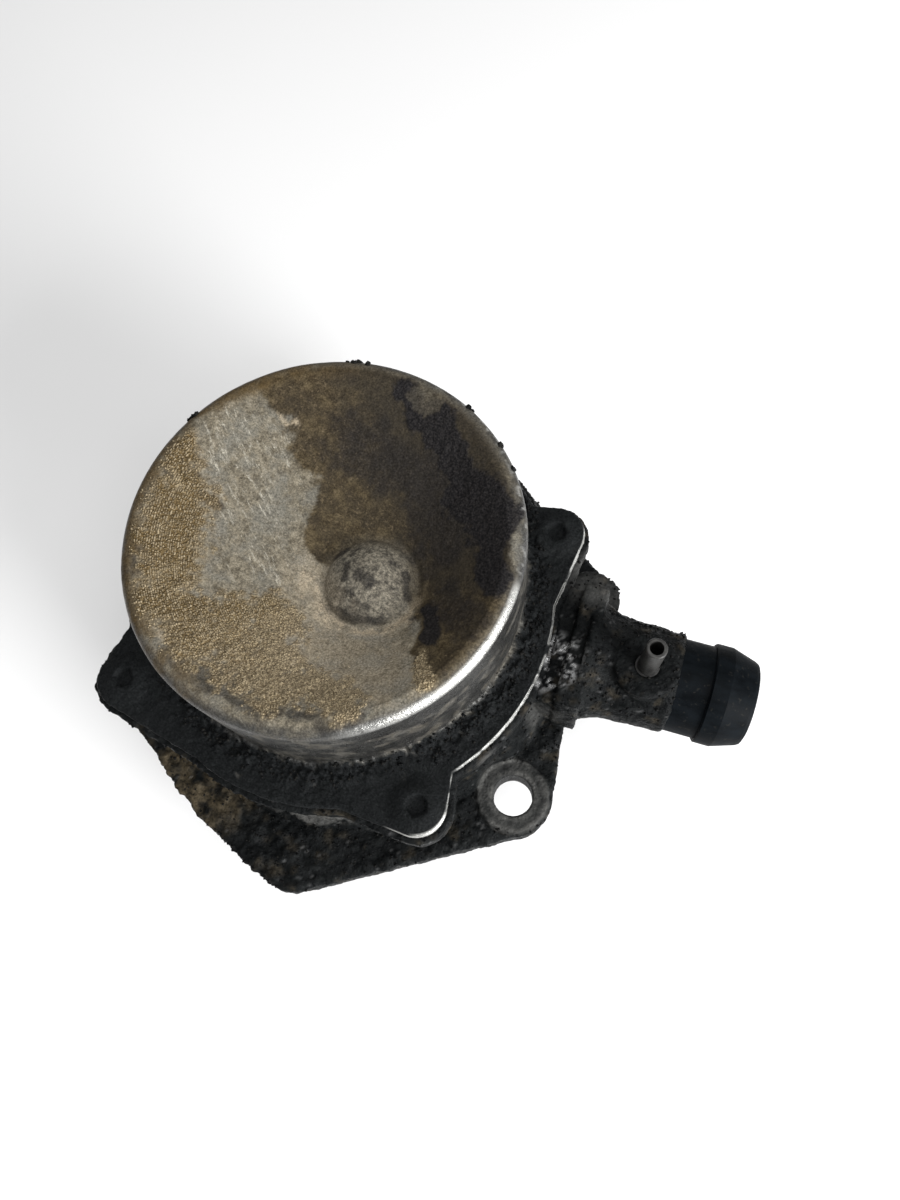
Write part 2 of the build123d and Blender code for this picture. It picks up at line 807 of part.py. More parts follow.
with BuildPart() as check_valve_seat:
    add(turned(seat_profile, spout_plane))
save(check_valve_seat, "check_valve_seat")

cage_profile = [
    (valve_bore_x, 0.0),
    (valve_bore_x, spout_bore_radius),
    (cage_end_x, spout_bore_radius),
    (cage_end_x, spout_bore_radius - cage_wall),
    (valve_bore_x + cage_floor, spout_bore_radius - cage_wall),
    (valve_bore_x + cage_floor, 0.0),
]

with BuildPart() as check_valve_cage:
    add(turned(cage_profile, spout_plane))
    with BuildSketch(across_spout.offset(valve_bore_x)):
        Circle(stem_radius + 0.1)
        with PolarLocations(vent_circle, vent_count):
            Circle(vent_radius)
    extrude(amount=2 * cage_floor, mode=Mode.SUBTRACT)
save(check_valve_cage, "check_valve_cage")

poppet_profile = [
    (valve_bore_x + cage_floor / 2, 0.0),
    (valve_bore_x + cage_floor / 2, stem_radius),
    (poppet_x, stem_radius),
    (poppet_x, poppet_radius),
    (poppet_x + poppet_thickness - 0.4, poppet_radius),
    (poppet_x + poppet_thickness, poppet_radius - 0.4),
    (poppet_x + poppet_thickness, 0.0),
]

with BuildPart() as check_valve_poppet:
    add(turned(poppet_profile, spout_plane))
save(check_valve_poppet, "check_valve_poppet")

valve_spring_start = valve_bore_x + cage_floor + valve_wire
valve_spring_end = poppet_x - valve_wire

with BuildPart() as check_valve_spring:
    add(
        coil(
            (valve_spring_start, 0, spout_axis_z),
            (1, 0, 0),
            valve_spring_end - valve_spring_start,
            valve_spring_radius,
            valve_wire,
            valve_spring_turns,
        )
    )
save(check_valve_spring, "check_valve_spring")

with BuildPart() as vacuum_nipple:
    nipple_bottom_z = spout_axis_z + sqrt(spout_bore_radius**2 - nipple_centre[1] ** 2) + 0.2
    with Locations((*nipple_centre, nipple_bottom_z)):
        Cylinder(nipple_radius, nipple_top_z - nipple_bottom_z, align=up_from)
        Cylinder(nipple_root_radius, nipple_boss_z - nipple_bottom_z, align=up_from)
    fillet(vacuum_nipple.edges().group_by(Axis.Z)[-1], nipple_tip_round)
    with Locations((*nipple_centre, 0)):
        Cylinder(nipple_bore_radius, through, mode=Mode.SUBTRACT)
save(vacuum_nipple, "vacuum_nipple")
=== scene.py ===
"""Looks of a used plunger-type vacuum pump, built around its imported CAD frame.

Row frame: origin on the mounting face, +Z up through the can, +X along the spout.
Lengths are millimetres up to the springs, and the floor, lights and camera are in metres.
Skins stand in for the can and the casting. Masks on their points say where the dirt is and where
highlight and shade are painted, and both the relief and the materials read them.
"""

import json
import math
from types import SimpleNamespace

import bmesh
import bpy
import numpy as np
from mathutils import Matrix, Vector, noise
from mathutils.bvhtree import BVHTree


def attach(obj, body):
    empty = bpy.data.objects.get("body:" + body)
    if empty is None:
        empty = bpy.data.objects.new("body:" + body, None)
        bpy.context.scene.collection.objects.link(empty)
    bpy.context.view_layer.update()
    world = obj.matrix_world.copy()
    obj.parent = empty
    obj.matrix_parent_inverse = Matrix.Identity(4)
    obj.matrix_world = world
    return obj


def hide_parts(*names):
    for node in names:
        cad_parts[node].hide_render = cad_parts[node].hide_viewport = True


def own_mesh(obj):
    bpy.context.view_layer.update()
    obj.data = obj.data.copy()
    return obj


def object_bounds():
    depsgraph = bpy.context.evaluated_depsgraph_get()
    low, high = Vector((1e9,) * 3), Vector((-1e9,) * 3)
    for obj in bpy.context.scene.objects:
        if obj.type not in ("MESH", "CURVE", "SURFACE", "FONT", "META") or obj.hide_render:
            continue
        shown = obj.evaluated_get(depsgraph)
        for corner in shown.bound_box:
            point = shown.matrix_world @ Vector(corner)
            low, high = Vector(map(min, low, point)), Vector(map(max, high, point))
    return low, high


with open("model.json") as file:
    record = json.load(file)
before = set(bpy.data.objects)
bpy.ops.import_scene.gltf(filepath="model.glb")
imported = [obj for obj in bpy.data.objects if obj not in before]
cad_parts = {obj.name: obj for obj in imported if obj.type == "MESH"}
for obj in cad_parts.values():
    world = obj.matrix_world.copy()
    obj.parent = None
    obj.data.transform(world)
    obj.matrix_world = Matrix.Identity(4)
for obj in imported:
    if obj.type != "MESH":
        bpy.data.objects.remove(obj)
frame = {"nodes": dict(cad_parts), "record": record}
cad_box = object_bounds()

MM = 0.001
DOWN = Vector((0, 0, -1))
FULL_TURN = 2 * math.pi

# ---- sizes taken from the CAD, mm

DOME_CENTRE = np.array((10.7, -4.3))
DOME_RADIUS = 10.0
RIM_RADIUS = 43.0
FOOT_Z = 33.7
SHEET_LOW = 29.8
SHEET_TOP = 31.3
CHAMBER_RADIUS = 41.4
EARS = ((45.0, 24.8), (32.6, -44.9), (-41.4, -37.1), (-31.3, 44.0))
EAR_HOLE_RADIUS = 2.2
SCREW_TIP_Z = 31.0
BOLT_HOLES = ((51.0, -34.4), (-5.4, 61.3), (-58.5, 1.5))
BOLT_RADIUS = 4.75
BOLT_FACE_RADIUS = 8.6
SPOUT_Z = 19.8
SPOUT_BORE = 9.6
SPOUT_START = 34.0
CAVITY_LOW_Z = -16.0


# ---- numeric helpers


def smooth(values, low, high):
    """0 below low, 1 above high, and a smooth step between."""
    t = np.clip((values - low) / (high - low), 0, 1)
    return t * t * (3 - 2 * t)


def lumps(points, size, octaves=4, shift=0.0):
    """Smooth random heights, about -1 to 1, with lumps about size millimetres wide."""
    offset = Vector((shift, 2.7 * shift, -1.3 * shift))
    scale = 1 / size
    return np.array(
        [noise.fractal(Vector(p) * scale + offset, 1.0, 2.0, octaves) for p in points]
    )


def grains(points, size, shift=0.0):
    """Rounded grains about size millimetres apart: 1 at a grain's top, near 0 between grains."""
    offset = Vector((shift, -shift, 2 * shift))
    scale = 1 / size
    gaps = [noise.voronoi(Vector(p) * scale + offset)[0] for p in points]
    first = np.array([gap[0] for gap in gaps])
    second = np.array([gap[1] for gap in gaps])
    return np.clip((second - first) * 1.6, 0, 1) ** 0.6


def strips(points, table):
    """How deep each point is inside any strip: 1 on its line, 0 at its edge, less outside.

    A strip is (x1, y1, x2, y2, half width).
    """
    flat = points[:, :2]
    depth = np.full(len(flat), -np.inf)
    for x1, y1, x2, y2, half_width in table:
        start = np.array((x1, y1))
        run = np.array((x2 - x1, y2 - y1))
        along = np.clip((flat - start) @ run / max(run @ run, 1e-9), 0, 1)
        gap = np.linalg.norm(flat - start - along[:, None] * run, axis=1)
        depth = np.maximum(depth, 1 - gap / half_width)
    return depth


def bell(values, middle, width):
    """1 at the middle, falling to 0 over about twice the width on both sides."""
    return np.exp(-(((values - middle) / width) ** 2))


def gap_to(points, centre):
    """Distance in plan from a centre (x, y)."""
    return np.linalg.norm(points[:, :2] - np.array(centre), axis=1)


def near(points, centre, radius):
    """1 within half of radius of a centre (x, y), falling to 0 at radius."""
    return 1 - smooth(gap_to(points, centre), radius / 2, radius)


# ---- mesh helpers


def add_object(name, data):
    made = bpy.data.objects.new(name, data)
    bpy.context.scene.collection.objects.link(made)
    return made


def new_piece(name, points, faces):
    """A smooth-shaded mesh object from points in millimetres."""
    mesh = bpy.data.meshes.new(name)
    mesh.from_pydata((np.asarray(points) * MM).tolist(), [], faces)
    mesh.update()
    mesh.shade_smooth()
    return add_object(name, mesh)


def points_of(mesh):
    """A mesh's vertices in millimetres."""
    flat = np.empty(len(mesh.vertices) * 3, np.float32)
    mesh.vertices.foreach_get("co", flat)
    return flat.reshape(-1, 3).astype(float) / MM


def set_points(mesh, points):
    mesh.vertices.foreach_set("co", (points * MM).astype(np.float32).ravel())
    mesh.update()


def normals_of(mesh):
    flat = np.empty(len(mesh.vertices) * 3, np.float32)
    mesh.vertex_normals.foreach_get("vector", flat)
    return flat.reshape(-1, 3).astype(float)


def set_masks(mesh, masks):
    """Stores a number per vertex for each mask, for the materials to read."""
    for name, values in masks.items():
        layer = mesh.attributes.new(name, "FLOAT", "POINT")
        layer.data.foreach_set("value", np.clip(values, 0, 1).astype(np.float32))


def cad_tree(*nodes):
    """A search tree over CAD nodes, in millimetres."""
    points, faces = [], []
    for node in nodes:
        mesh = frame["nodes"][node].data
        first = len(points)
        points += [tuple(p) for p in points_of(mesh)]
        faces += [[first + v for v in p.vertices] for p in mesh.polygons]
    return BVHTree.FromPolygons(points, faces)


def finish_piece(piece, body, slot, look, *nodes):
    """Rides a piece on its body, in its material, in place of CAD nodes if any are given."""
    piece.data.materials.clear()
    piece.data.materials.append(look)
    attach(piece, body)
    if nodes:
        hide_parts(*nodes)


# ---- material helpers


class Shader:
    """One material's node tree, with short ways to add the nodes that the looks share."""

    def __init__(self, name):
        self.material = bpy.data.materials.new(name)
        self.material.use_nodes = True
        self.tree = self.material.node_tree
        self.surface = self.tree.nodes["Principled BSDF"]
        self.place = self.tree.nodes.new("ShaderNodeTexCoord").outputs["Object"]

    def add(self, kind, **settings):
        made = self.tree.nodes.new(kind)
        for key, value in settings.items():
            setattr(made, key, value)
        return made

    def join(self, value, socket):
        """Links an output to a socket, or sets the socket to a plain value."""
        if isinstance(value, bpy.types.NodeSocket):
            self.tree.links.new(value, socket)
        else:
            socket.default_value = value

    def stretched(self, length, turn=0.0):
        """The object's coordinates for marks length times longer along turn than across."""
        mapping = self.add("ShaderNodeMapping", vector_type="TEXTURE")
        self.join(self.place, mapping.inputs["Vector"])
        mapping.inputs["Rotation"].default_value = (0.0, 0.0, turn)
        mapping.inputs["Scale"].default_value = (length, 1.0, 1.0)
        return mapping.outputs["Vector"]

    def noise(self, size, detail=5.0, rough=0.6, place=None):
        """Soft noise, 0 to 1, with lumps about size millimetres wide."""
        made = self.add("ShaderNodeTexNoise")
        self.join(self.place if place is None else place, made.inputs["Vector"])
        made.inputs["Scale"].default_value = 1 / (size * MM)
        made.inputs["Detail"].default_value = detail
        made.inputs["Roughness"].default_value = rough
        return made.outputs["Fac"]

    def cells(self, size):
        """Distance to the middle of the nearest of many cells about size millimetres apart."""
        made = self.add("ShaderNodeTexVoronoi", feature="F1")
        self.join(self.place, made.inputs["Vector"])
        made.inputs["Scale"].default_value = 1 / (size * MM)
        return made.outputs["Distance"]

    def mask(self, name):
        return self.add("ShaderNodeAttribute", attribute_name=name).outputs["Fac"]

    def math(self, operation, first, second=0.0, clamp=False):
        made = self.add("ShaderNodeMath", operation=operation, use_clamp=clamp)
        self.join(first, made.inputs[0])
        self.join(second, made.inputs[1])
        return made.outputs[0]

    def times(self, first, second):
        return self.math("MULTIPLY", first, second)

    def range(self, value, low, high, to_low=0.0, to_high=1.0):
        """Maps low..high to to_low..to_high, clamped."""
        made = self.add("ShaderNodeMapRange")
        for socket, given in zip(made.inputs, (value, low, high, to_low, to_high)):
            self.join(given, socket)
        return made.outputs["Result"]

    def blend(self, share, first, second):
        """Mixes two colours, given as outputs or as red, green, blue."""
        made = self.add("ShaderNodeMix", data_type="RGBA")
        colour_sockets = (made.inputs[6], made.inputs[7])
        self.join(share, made.inputs[0])
        for given, socket in zip((first, second), colour_sockets):
            self.join((*given, 1.0) if isinstance(given, tuple) else given, socket)
        return made.outputs[2]

    def level(self, share, first, second):
        """Mixes two numbers."""
        made = self.add("ShaderNodeMix", data_type="FLOAT")
        self.join(share, made.inputs[0])
        self.join(first, made.inputs[2])
        self.join(second, made.inputs[3])
        return made.outputs[0]

    def scaled(self, colour, factor):
        """A colour times a number."""
        made = self.add("ShaderNodeVectorMath", operation="SCALE")
        self.join(colour, made.inputs[0])
        self.join(factor, made.inputs["Scale"])
        return made.outputs[0]

    def bump(self, height, depth, strength=1.0):
        """Relief of depth millimetres from a height of 0 to 1."""
        made = self.add("ShaderNodeBump")
        made.inputs["Strength"].default_value = strength
        made.inputs["Distance"].default_value = depth * MM
        self.join(height, made.inputs["Height"])
        return made.outputs["Normal"]

    def finished(self, colour, rough, normal=None, metal=0.0, gloss=0.5):
        """Sets or links the surface's own sockets. Gloss is its specular level."""
        sockets = self.surface.inputs
        self.join(colour, sockets["Base Color"])
        self.join(rough, sockets["Roughness"])
        self.join(metal, sockets["Metallic"])
        self.join(gloss, sockets["Specular IOR Level"])
        if normal is not None:
            self.join(normal, sockets["Normal"])
        return self.material


# ---- materials

# Specular levels of the Principled surface, whose own default is 0.5
GREASE_GLOSS = 0.035
FILM_GLOSS = 0.025
RUBBER_GLOSS = 0.25
SCRATCH_TURN = -0.78


def can_look():
    """Pressed steel under dust, oil, soot, sand and grease, where the masks say, with painted
    highlights on the rim and the flange's edge and painted shade on the oil stain and the dome.
    """
    s = Shader("can_steel_stained")
    fine = s.noise(0.45)
    broad = s.noise(6.0, detail=8.0, rough=0.65)
    blotch = s.noise(1.7, detail=6.0, rough=0.7)
    scratch_place = s.stretched(9.0, SCRATCH_TURN)
    scratch = s.range(s.noise(1.3, detail=8.0, rough=0.8, place=scratch_place), 0.54, 0.64)
    speck = s.range(s.noise(0.8, detail=3.0), 0.58, 0.66)
    salt = s.noise(0.32, detail=2.0)
    pit = s.range(s.noise(2.6, detail=6.0, rough=0.75), 0.56, 0.64)

    steel = s.blend(s.range(broad, 0.35, 0.65), (0.042, 0.042, 0.041), (0.085, 0.084, 0.080))
    steel = s.blend(s.range(blotch, 0.5, 0.7, 0.0, 0.6), steel, (0.026, 0.024, 0.020))
    dust = s.blend(s.range(blotch, 0.38, 0.62), (0.078, 0.067, 0.048), (0.200, 0.176, 0.132))
    dust = s.blend(s.range(broad, 0.46, 0.62), dust, (0.132, 0.124, 0.103))
    dust = s.blend(s.times(pit, 0.6), dust, (0.075, 0.066, 0.050))
    dust = s.blend(s.times(speck, 0.5), dust, (0.055, 0.047, 0.035))
    dust = s.blend(s.range(salt, 0.55, 0.7, 0.0, 0.25), dust, (0.30, 0.265, 0.205))
    dome_grain = s.noise(0.8, detail=6.0, rough=0.75)
    dome = s.blend(s.range(dome_grain, 0.40, 0.58), (0.070, 0.064, 0.052), (0.210, 0.188, 0.147))
    dome = s.blend(s.range(blotch, 0.52, 0.64, 0.0, 0.6), dome, (0.055, 0.050, 0.042))
    dust = s.blend(s.mask("dome"), dust, dome)
    dust_share = s.mask("dust")
    colour = s.blend(dust_share, steel, dust)
    scratch_share = s.times(scratch, s.mask("scratch"))
    colour = s.blend(scratch_share, colour, (0.31, 0.29, 0.24))

    oil = s.blend(s.range(blotch, 0.38, 0.64), (0.032, 0.024, 0.014), (0.085, 0.066, 0.038))
    oil = s.blend(s.range(broad, 0.42, 0.62), oil, (0.034, 0.027, 0.018))
    oil = s.blend(s.times(speck, 0.5), oil, (0.12, 0.092, 0.056))
    # Painted shade: the oil stain darker at its upper right
    oil = s.blend(s.times(s.mask("shade"), 0.75), oil, (0.024, 0.021, 0.017))
    oil_share = s.mask("oil")
    colour = s.blend(oil_share, colour, oil)

    # The soot colour also darkens the dome's lower side as painted shade
    soot_and_shade = s.blend(s.range(fine, 0.4, 0.65), (0.006, 0.006, 0.007), (0.024, 0.022, 0.022))
    soot_and_shade_share = s.mask("soot_and_shade")
    colour = s.blend(soot_and_shade_share, colour, soot_and_shade)

    grain = s.cells(0.52)
    grain_tint = s.noise(0.7, detail=2.0)
    sand = s.blend(s.range(grain, 0.15, 0.6), (0.47, 0.385, 0.245), (0.115, 0.086, 0.050))
    sand = s.blend(s.range(grain_tint, 0.45, 0.65, 0.0, 0.8), sand, (0.27, 0.215, 0.132))
    sand = s.blend(s.range(broad, 0.5, 0.65, 0.0, 0.4), sand, (0.16, 0.125, 0.078))
    sand = s.blend(s.times(s.mask("brown"), 0.85), sand, (0.080, 0.053, 0.021))
    sand_share = s.mask("sand")
    colour = s.blend(sand_share, colour, sand)
    rim_brown = s.times(s.mask("brown"), s.range(blotch, 0.3, 0.6, 0.55, 0.95))
    rim_brown = s.times(rim_brown, s.math("SUBTRACT", 1.0, sand_share))
    colour = s.blend(rim_brown, colour, (0.080, 0.054, 0.024))

    # Pale dust, and the painted highlight on the lip under the dome
    pale_share = s.times(s.mask("pale"), s.range(salt, 0.35, 0.6, 0.45, 1.0))
    colour = s.blend(pale_share, colour, (0.36, 0.30, 0.215))
    grit = s.range(s.noise(0.42, detail=3.0, rough=0.7), 0.36, 0.64, 0.62, 1.32)
    colour = s.scaled(colour, grit)

    grease = s.blend(s.range(fine, 0.35, 0.7), (0.0035, 0.004, 0.0042), (0.012, 0.013, 0.0135))
    grease_share = s.mask("grease")
    colour = s.blend(grease_share, colour, grease)

    # Painted highlight: pale polished metal on the rim's band and the flange's edge that face the
    # window light
    highlight_share = s.mask("painted_highlight")
    colour = s.blend(highlight_share, colour, (0.50, 0.50, 0.48))

    rough = s.level(dust_share, s.range(blotch, 0.3, 0.7, 0.22, 0.38), 0.85)
    rough = s.level(oil_share, rough, s.range(fine, 0.3, 0.7, 0.45, 0.72))
    rough = s.level(soot_and_shade_share, rough, s.range(fine, 0.3, 0.7, 0.32, 0.6))
    rough = s.level(sand_share, rough, 0.97)
    rough = s.level(grease_share, rough, s.range(blotch, 0.4, 0.6, 0.26, 0.62))
    rough = s.level(highlight_share, rough, 0.16)

    cover = s.math("ADD", dust_share, oil_share, clamp=True)
    cover = s.math("MAXIMUM", s.math("MAXIMUM", cover, sand_share), grease_share)
    metal = s.math("SUBTRACT", 1.0, cover, clamp=True)
    metal = s.math("MAXIMUM", s.times(metal, 0.8), highlight_share)

    relief = s.times(s.math("ADD", fine, blotch), 0.3)
    relief = s.level(sand_share, relief, s.range(grain, 0.0, 0.7, 1.0, 0.0))
    relief = s.level(grease_share, relief, blotch)
    normal = s.bump(relief, 0.5, strength=0.95)
    return s.finished(colour, rough, normal, metal, GREASE_GLOSS)


def body_look():
    """Die-cast aluminium under old grease: bare, brown or wet where the masks say."""
    s = Shader("cast_body_greasy")
    fine = s.noise(0.45)
    blotch = s.noise(1.5, detail=6.0, rough=0.7)
    broad = s.noise(7.0, detail=5.0)
    pit = s.range(s.cells(0.9), 0.0, 0.5)

    grease = s.blend(s.range(blotch, 0.38, 0.7), (0.0022, 0.0026, 0.0028), (0.009, 0.0098, 0.010))
    film = s.times(s.range(broad, 0.5, 0.7), 0.5)
    grease = s.blend(film, grease, (0.011, 0.012, 0.012))
    brown_share = s.mask("brown")
    brown = s.blend(s.range(blotch, 0.4, 0.62), (0.022, 0.018, 0.012), (0.070, 0.056, 0.036))
    colour = s.blend(brown_share, grease, brown)

    cast = s.blend(s.range(blotch, 0.35, 0.65), (0.060, 0.060, 0.058), (0.135, 0.133, 0.125))
    bare_share = s.mask("bare")
    colour = s.blend(bare_share, colour, cast)

    wet_share = s.mask("wet")
    rough = s.range(fine, 0.3, 0.7, 0.28, 0.7)
    rough = s.level(bare_share, rough, 0.6)
    rough = s.level(wet_share, rough, 0.10)
    colour = s.blend(wet_share, colour, (0.22, 0.22, 0.22))
    metal = s.math("MAXIMUM", s.times(bare_share, 0.3), wet_share)

    relief = s.math("ADD", s.times(blotch, 0.7), s.times(pit, 0.3))
    normal = s.bump(relief, 0.5, strength=0.85)
    return s.finished(colour, rough, normal, metal, GREASE_GLOSS)


def grease_crumb_look():
    s = Shader("grease_crumbs")
    tint = s.noise(2.5, detail=3.0)
    fine = s.noise(0.35)
    colour = s.blend(s.range(tint, 0.4, 0.7), (0.0024, 0.0027, 0.003), (0.012, 0.0115, 0.0105))
    rough = s.range(fine, 0.3, 0.7, 0.22, 0.6)
    return s.finished(colour, rough, s.bump(fine, 0.12), gloss=GREASE_GLOSS)


def sand_grain_look():
    s = Shader("sand_grains")
    tint = s.noise(0.9, detail=1.0)
    fine = s.noise(0.2)
    colour = s.blend(s.range(tint, 0.35, 0.65), (0.11, 0.084, 0.048), (0.25, 0.200, 0.124))
    return s.finished(colour, 0.9, s.bump(fine, 0.05))


def metal_look(name, dark, light, rough_range, metallic=1.0):
    """Machined or plated metal with uneven oxide and a fine grain."""
    s = Shader(name)
    blotch = s.noise(2.2, detail=6.0)
    fine = s.noise(0.3, detail=3.0)
    colour = s.blend(s.range(blotch, 0.35, 0.65), dark, light)
    rough = s.range(fine, 0.3, 0.7, *rough_range)
    return s.finished(colour, rough, s.bump(fine, 0.02), metallic)


def dull_look(name, dark, light, rough_range):
    """Rubber, plastic or gasket board: no metal, with a slightly uneven face."""
    s = Shader(name)
    blotch = s.noise(1.5, detail=6.0)
    fine = s.noise(0.3, detail=4.0)
    colour = s.blend(s.range(blotch, 0.35, 0.65), dark, light)
    rough = s.range(blotch, 0.3, 0.7, *rough_range)
    return s.finished(colour, rough, s.bump(fine, 0.03), gloss=RUBBER_GLOSS)


def connector_look():
    """Smooth dark blue-grey plastic with an oily film, smears and fine scratches."""
    s = Shader("connector_plastic_oily")
    smear = s.noise(3.0, detail=5.0, place=s.stretched(2.0))
    fine = s.noise(0.4)
    speck = s.range(s.noise(1.1, detail=3.0), 0.62, 0.7)
    colour = s.blend(s.range(smear, 0.35, 0.7), (0.0016, 0.0022, 0.0028), (0.0045, 0.0060, 0.0075))
    colour = s.blend(s.times(speck, 0.4), colour, (0.022, 0.021, 0.018))
    rough = s.range(smear, 0.35, 0.65, 0.42, 0.6)
    return s.finished(colour, rough, s.bump(fine, 0.04), gloss=FILM_GLOSS)


LOOKS = {
    "can": can_look(),
    "body": body_look(),
    "crumbs": grease_crumb_look(),
    "sand": sand_grain_look(),
    "connector": connector_look(),
    "gasket": dull_look("gasket_board", (0.004, 0.004, 0.004), (0.02, 0.019, 0.018), (0.6, 0.85)),
    "screws": dull_look(
        "screw_greasy", (0.0035, 0.0035, 0.0035), (0.014, 0.014, 0.013), (0.45, 0.7)
    ),
    "bush": metal_look("bush_bronze", (0.40, 0.26, 0.11), (0.62, 0.44, 0.22), (0.22, 0.4)),
    "rubber": dull_look("seal_rubber", (0.008, 0.008, 0.009), (0.02, 0.02, 0.021), (0.5, 0.7)),
    "spring_steel": metal_look(
        "spring_wire_oiled", (0.12, 0.12, 0.13), (0.32, 0.32, 0.34), (0.25, 0.42)
    ),
    "steel": metal_look("steel_ground", (0.16, 0.155, 0.145), (0.42, 0.42, 0.42), (0.22, 0.42)),
    "alu_plate": metal_look("plate_turned", (0.48, 0.48, 0.49), (0.66, 0.66, 0.66), (0.28, 0.45)),
    "hardened": metal_look("steel_hardened", (0.15, 0.14, 0.125), (0.42, 0.42, 0.43), (0.14, 0.3)),
    "valve_plastic": dull_look(
        "nylon_natural", (0.55, 0.51, 0.42), (0.72, 0.69, 0.6), (0.35, 0.5)
    ),
    "nipple": metal_look(
        "nipple_dirty", (0.006, 0.006, 0.006), (0.035, 0.034, 0.032), (0.35, 0.6), metallic=0.5
    ),
}


def dress_cad_nodes():
    """Gives every CAD node the material of its slot in the record."""
    for part in frame["record"]["subparts"]:
        piece = frame["nodes"][part["node"]]
        piece.data.materials.clear()
        piece.data.materials.append(LOOKS[part["material_slot"]])


# ---- the can's skin

# The top is a square grid bent into a disc: a dome, a dish, and a rim that turns down
DISC_STEPS = 240
AROUND = 4 * DISC_STEPS
DISC_RINGS = DISC_STEPS // 2
DOME_RINGS = 26
DISH_RINGS = 108
DISH_RADIUS = 39.4
DISH_LOW_Z = 44.0
RIM_LOW_Z = 50.0
ABOVE_Z = 90.0
OUTSIDE_RADIUS = 90.0
WALL_Z = 55.4
WALL_RING_GAP = 0.45
BEND_RINGS = 7
FLANGE_RINGS = 29
EDGE_INSET = 0.35
UNDERSIDE_INSET = 1.0
# The can's inside below its top: radius, centre and height of each ring, and its last point
INSIDE_RINGS = (
    (CHAMBER_RADIUS, (0.0, 0.0), SHEET_LOW),
    (CHAMBER_RADIUS, (0.0, 0.0), 38.0),
    (CHAMBER_RADIUS, (0.0, 0.0), 47.0),
    (CHAMBER_RADIUS, (0.0, 0.0), 55.0),
    (39.0, (0.0, 0.0), 56.8),
    (DOME_RADIUS, DOME_CENTRE, 46.1),
    (DOME_RADIUS * 0.6, DOME_CENTRE, 49.8),
)
INSIDE_PEAK_Z = 51.1


def disc_grid():
    """Ring number and angle of every point of a square grid bent into a disc."""
    axis = np.arange(-DISC_RINGS, DISC_RINGS + 1)
    across, up = np.meshgrid(axis, axis)
    ring = np.maximum(abs(across), abs(up)).astype(float)
    quarter = math.pi / 4
    angle = np.where(
        abs(across) >= abs(up),
        np.where(across > 0, 0, math.pi) + quarter * up / np.where(across == 0, 1, across),
        np.where(up > 0, math.pi / 2, -math.pi / 2)
        - quarter * across / np.where(up == 0, 1, up),
    )
    angle = np.where(ring > 0, angle, 0)
    return ring.ravel(), angle.ravel()


def disc_faces():
    """Quads of the square grid."""
    width = DISC_STEPS + 1
    start = np.arange(DISC_STEPS)
    corner = (start[:, None] * width + start[None, :]).ravel()
    return np.stack([corner, corner + 1, corner + width + 1, corner + width], axis=1)


def disc_edge(ring, angle):
    """The grid's outermost points in order of angle from 0."""
    edge = np.flatnonzero(ring == DISC_RINGS)
    turn = np.round((angle[edge] % FULL_TURN) / FULL_TURN * AROUND).astype(int) % AROUND
    return edge[np.argsort(turn)]


def profile_angles():
    return np.arange(AROUND) * FULL_TURN / AROUND


def circle(radius, z, centre=(0.0, 0.0)):
    """A ring of AROUND points. Radius may be one number or one for each angle."""
    turn = profile_angles()
    x = centre[0] + radius * np.cos(turn)
    y = centre[1] + radius * np.sin(turn)
    return np.column_stack([x, y, np.full(AROUND, float(z))])


def sheet_edge(tree, z):
    """The radius of the can's flange at each angle, measured inwards on the CAD."""
    found = []
    for turn in profile_angles():
        way = Vector((math.cos(turn), math.sin(turn), 0))
        hit = tree.ray_cast(way * OUTSIDE_RADIUS + Vector((0, 0, z)), -way)[0]
        found.append(math.hypot(hit.x, hit.y))
    return np.array(found)


def drop_onto(tree, points, fallback):
    """Lowers points onto the CAD from above."""
    for p in points:
        hit = tree.ray_cast(Vector((p[0], p[1], ABOVE_Z)), DOWN)[0]
        p[2] = fallback if hit is None or hit.z < fallback else hit.z


def can_top(tree, ring, angle):
    """Dome, dish and rim: rings round the dome's centre that grow into the can's own circle."""
    share = np.clip((ring - DOME_RINGS) / (DISH_RINGS - DOME_RINGS), 0, 1)
    radius = np.where(
        ring <= DOME_RINGS,
        ring / DOME_RINGS * DOME_RADIUS,
        DOME_RADIUS + share * (DISH_RADIUS - DOME_RADIUS),
    )
    over = np.clip((ring - DISH_RINGS) / (DISC_RINGS - DISH_RINGS), 0, 1)
    turn_down = over * math.pi / 2
    reach = RIM_RADIUS - DISH_RADIUS
    radius = radius + np.sin(turn_down) * reach
    centre = (1 - share)[:, None] * DOME_CENTRE
    x = centre[:, 0] + radius * np.cos(angle)
    y = centre[:, 1] + radius * np.sin(angle)
    points = np.column_stack([x, y, np.full(len(ring), ABOVE_Z)])
    inner = ring <= DISH_RINGS
    lowered = points[inner]
    drop_onto(tree, lowered, DISH_LOW_Z)
    points[inner] = lowered
    crest = lowered[:, 2].max()
    points[~inner, 2] = crest - (1 - np.cos(turn_down[~inner])) * (crest - WALL_Z)
    return points


def project(tree, points, reach=1.2):
    """Moves points onto the CAD where it is within reach."""
    moved = points.copy()
    for i, p in enumerate(points):
        hit = tree.find_nearest(Vector(p), reach)[0]
        if hit is not None:
            moved[i] = hit
    return moved


def wall_rings(tree):
    """Rings down the wall and round the bend at its foot, on the CAD's faces."""
    heights = np.arange(WALL_Z - WALL_RING_GAP, FOOT_Z, -WALL_RING_GAP)
    rings = [circle(RIM_RADIUS, z) for z in heights]
    bend = FOOT_Z - SHEET_TOP
    for turn in np.linspace(0, math.pi / 2, BEND_RINGS + 1)[1:-1]:
        reach = bend * (1 - math.cos(turn))
        rings.append(circle(RIM_RADIUS + reach, FOOT_Z - bend * math.sin(turn)))
    return [project(tree, ring) for ring in rings]


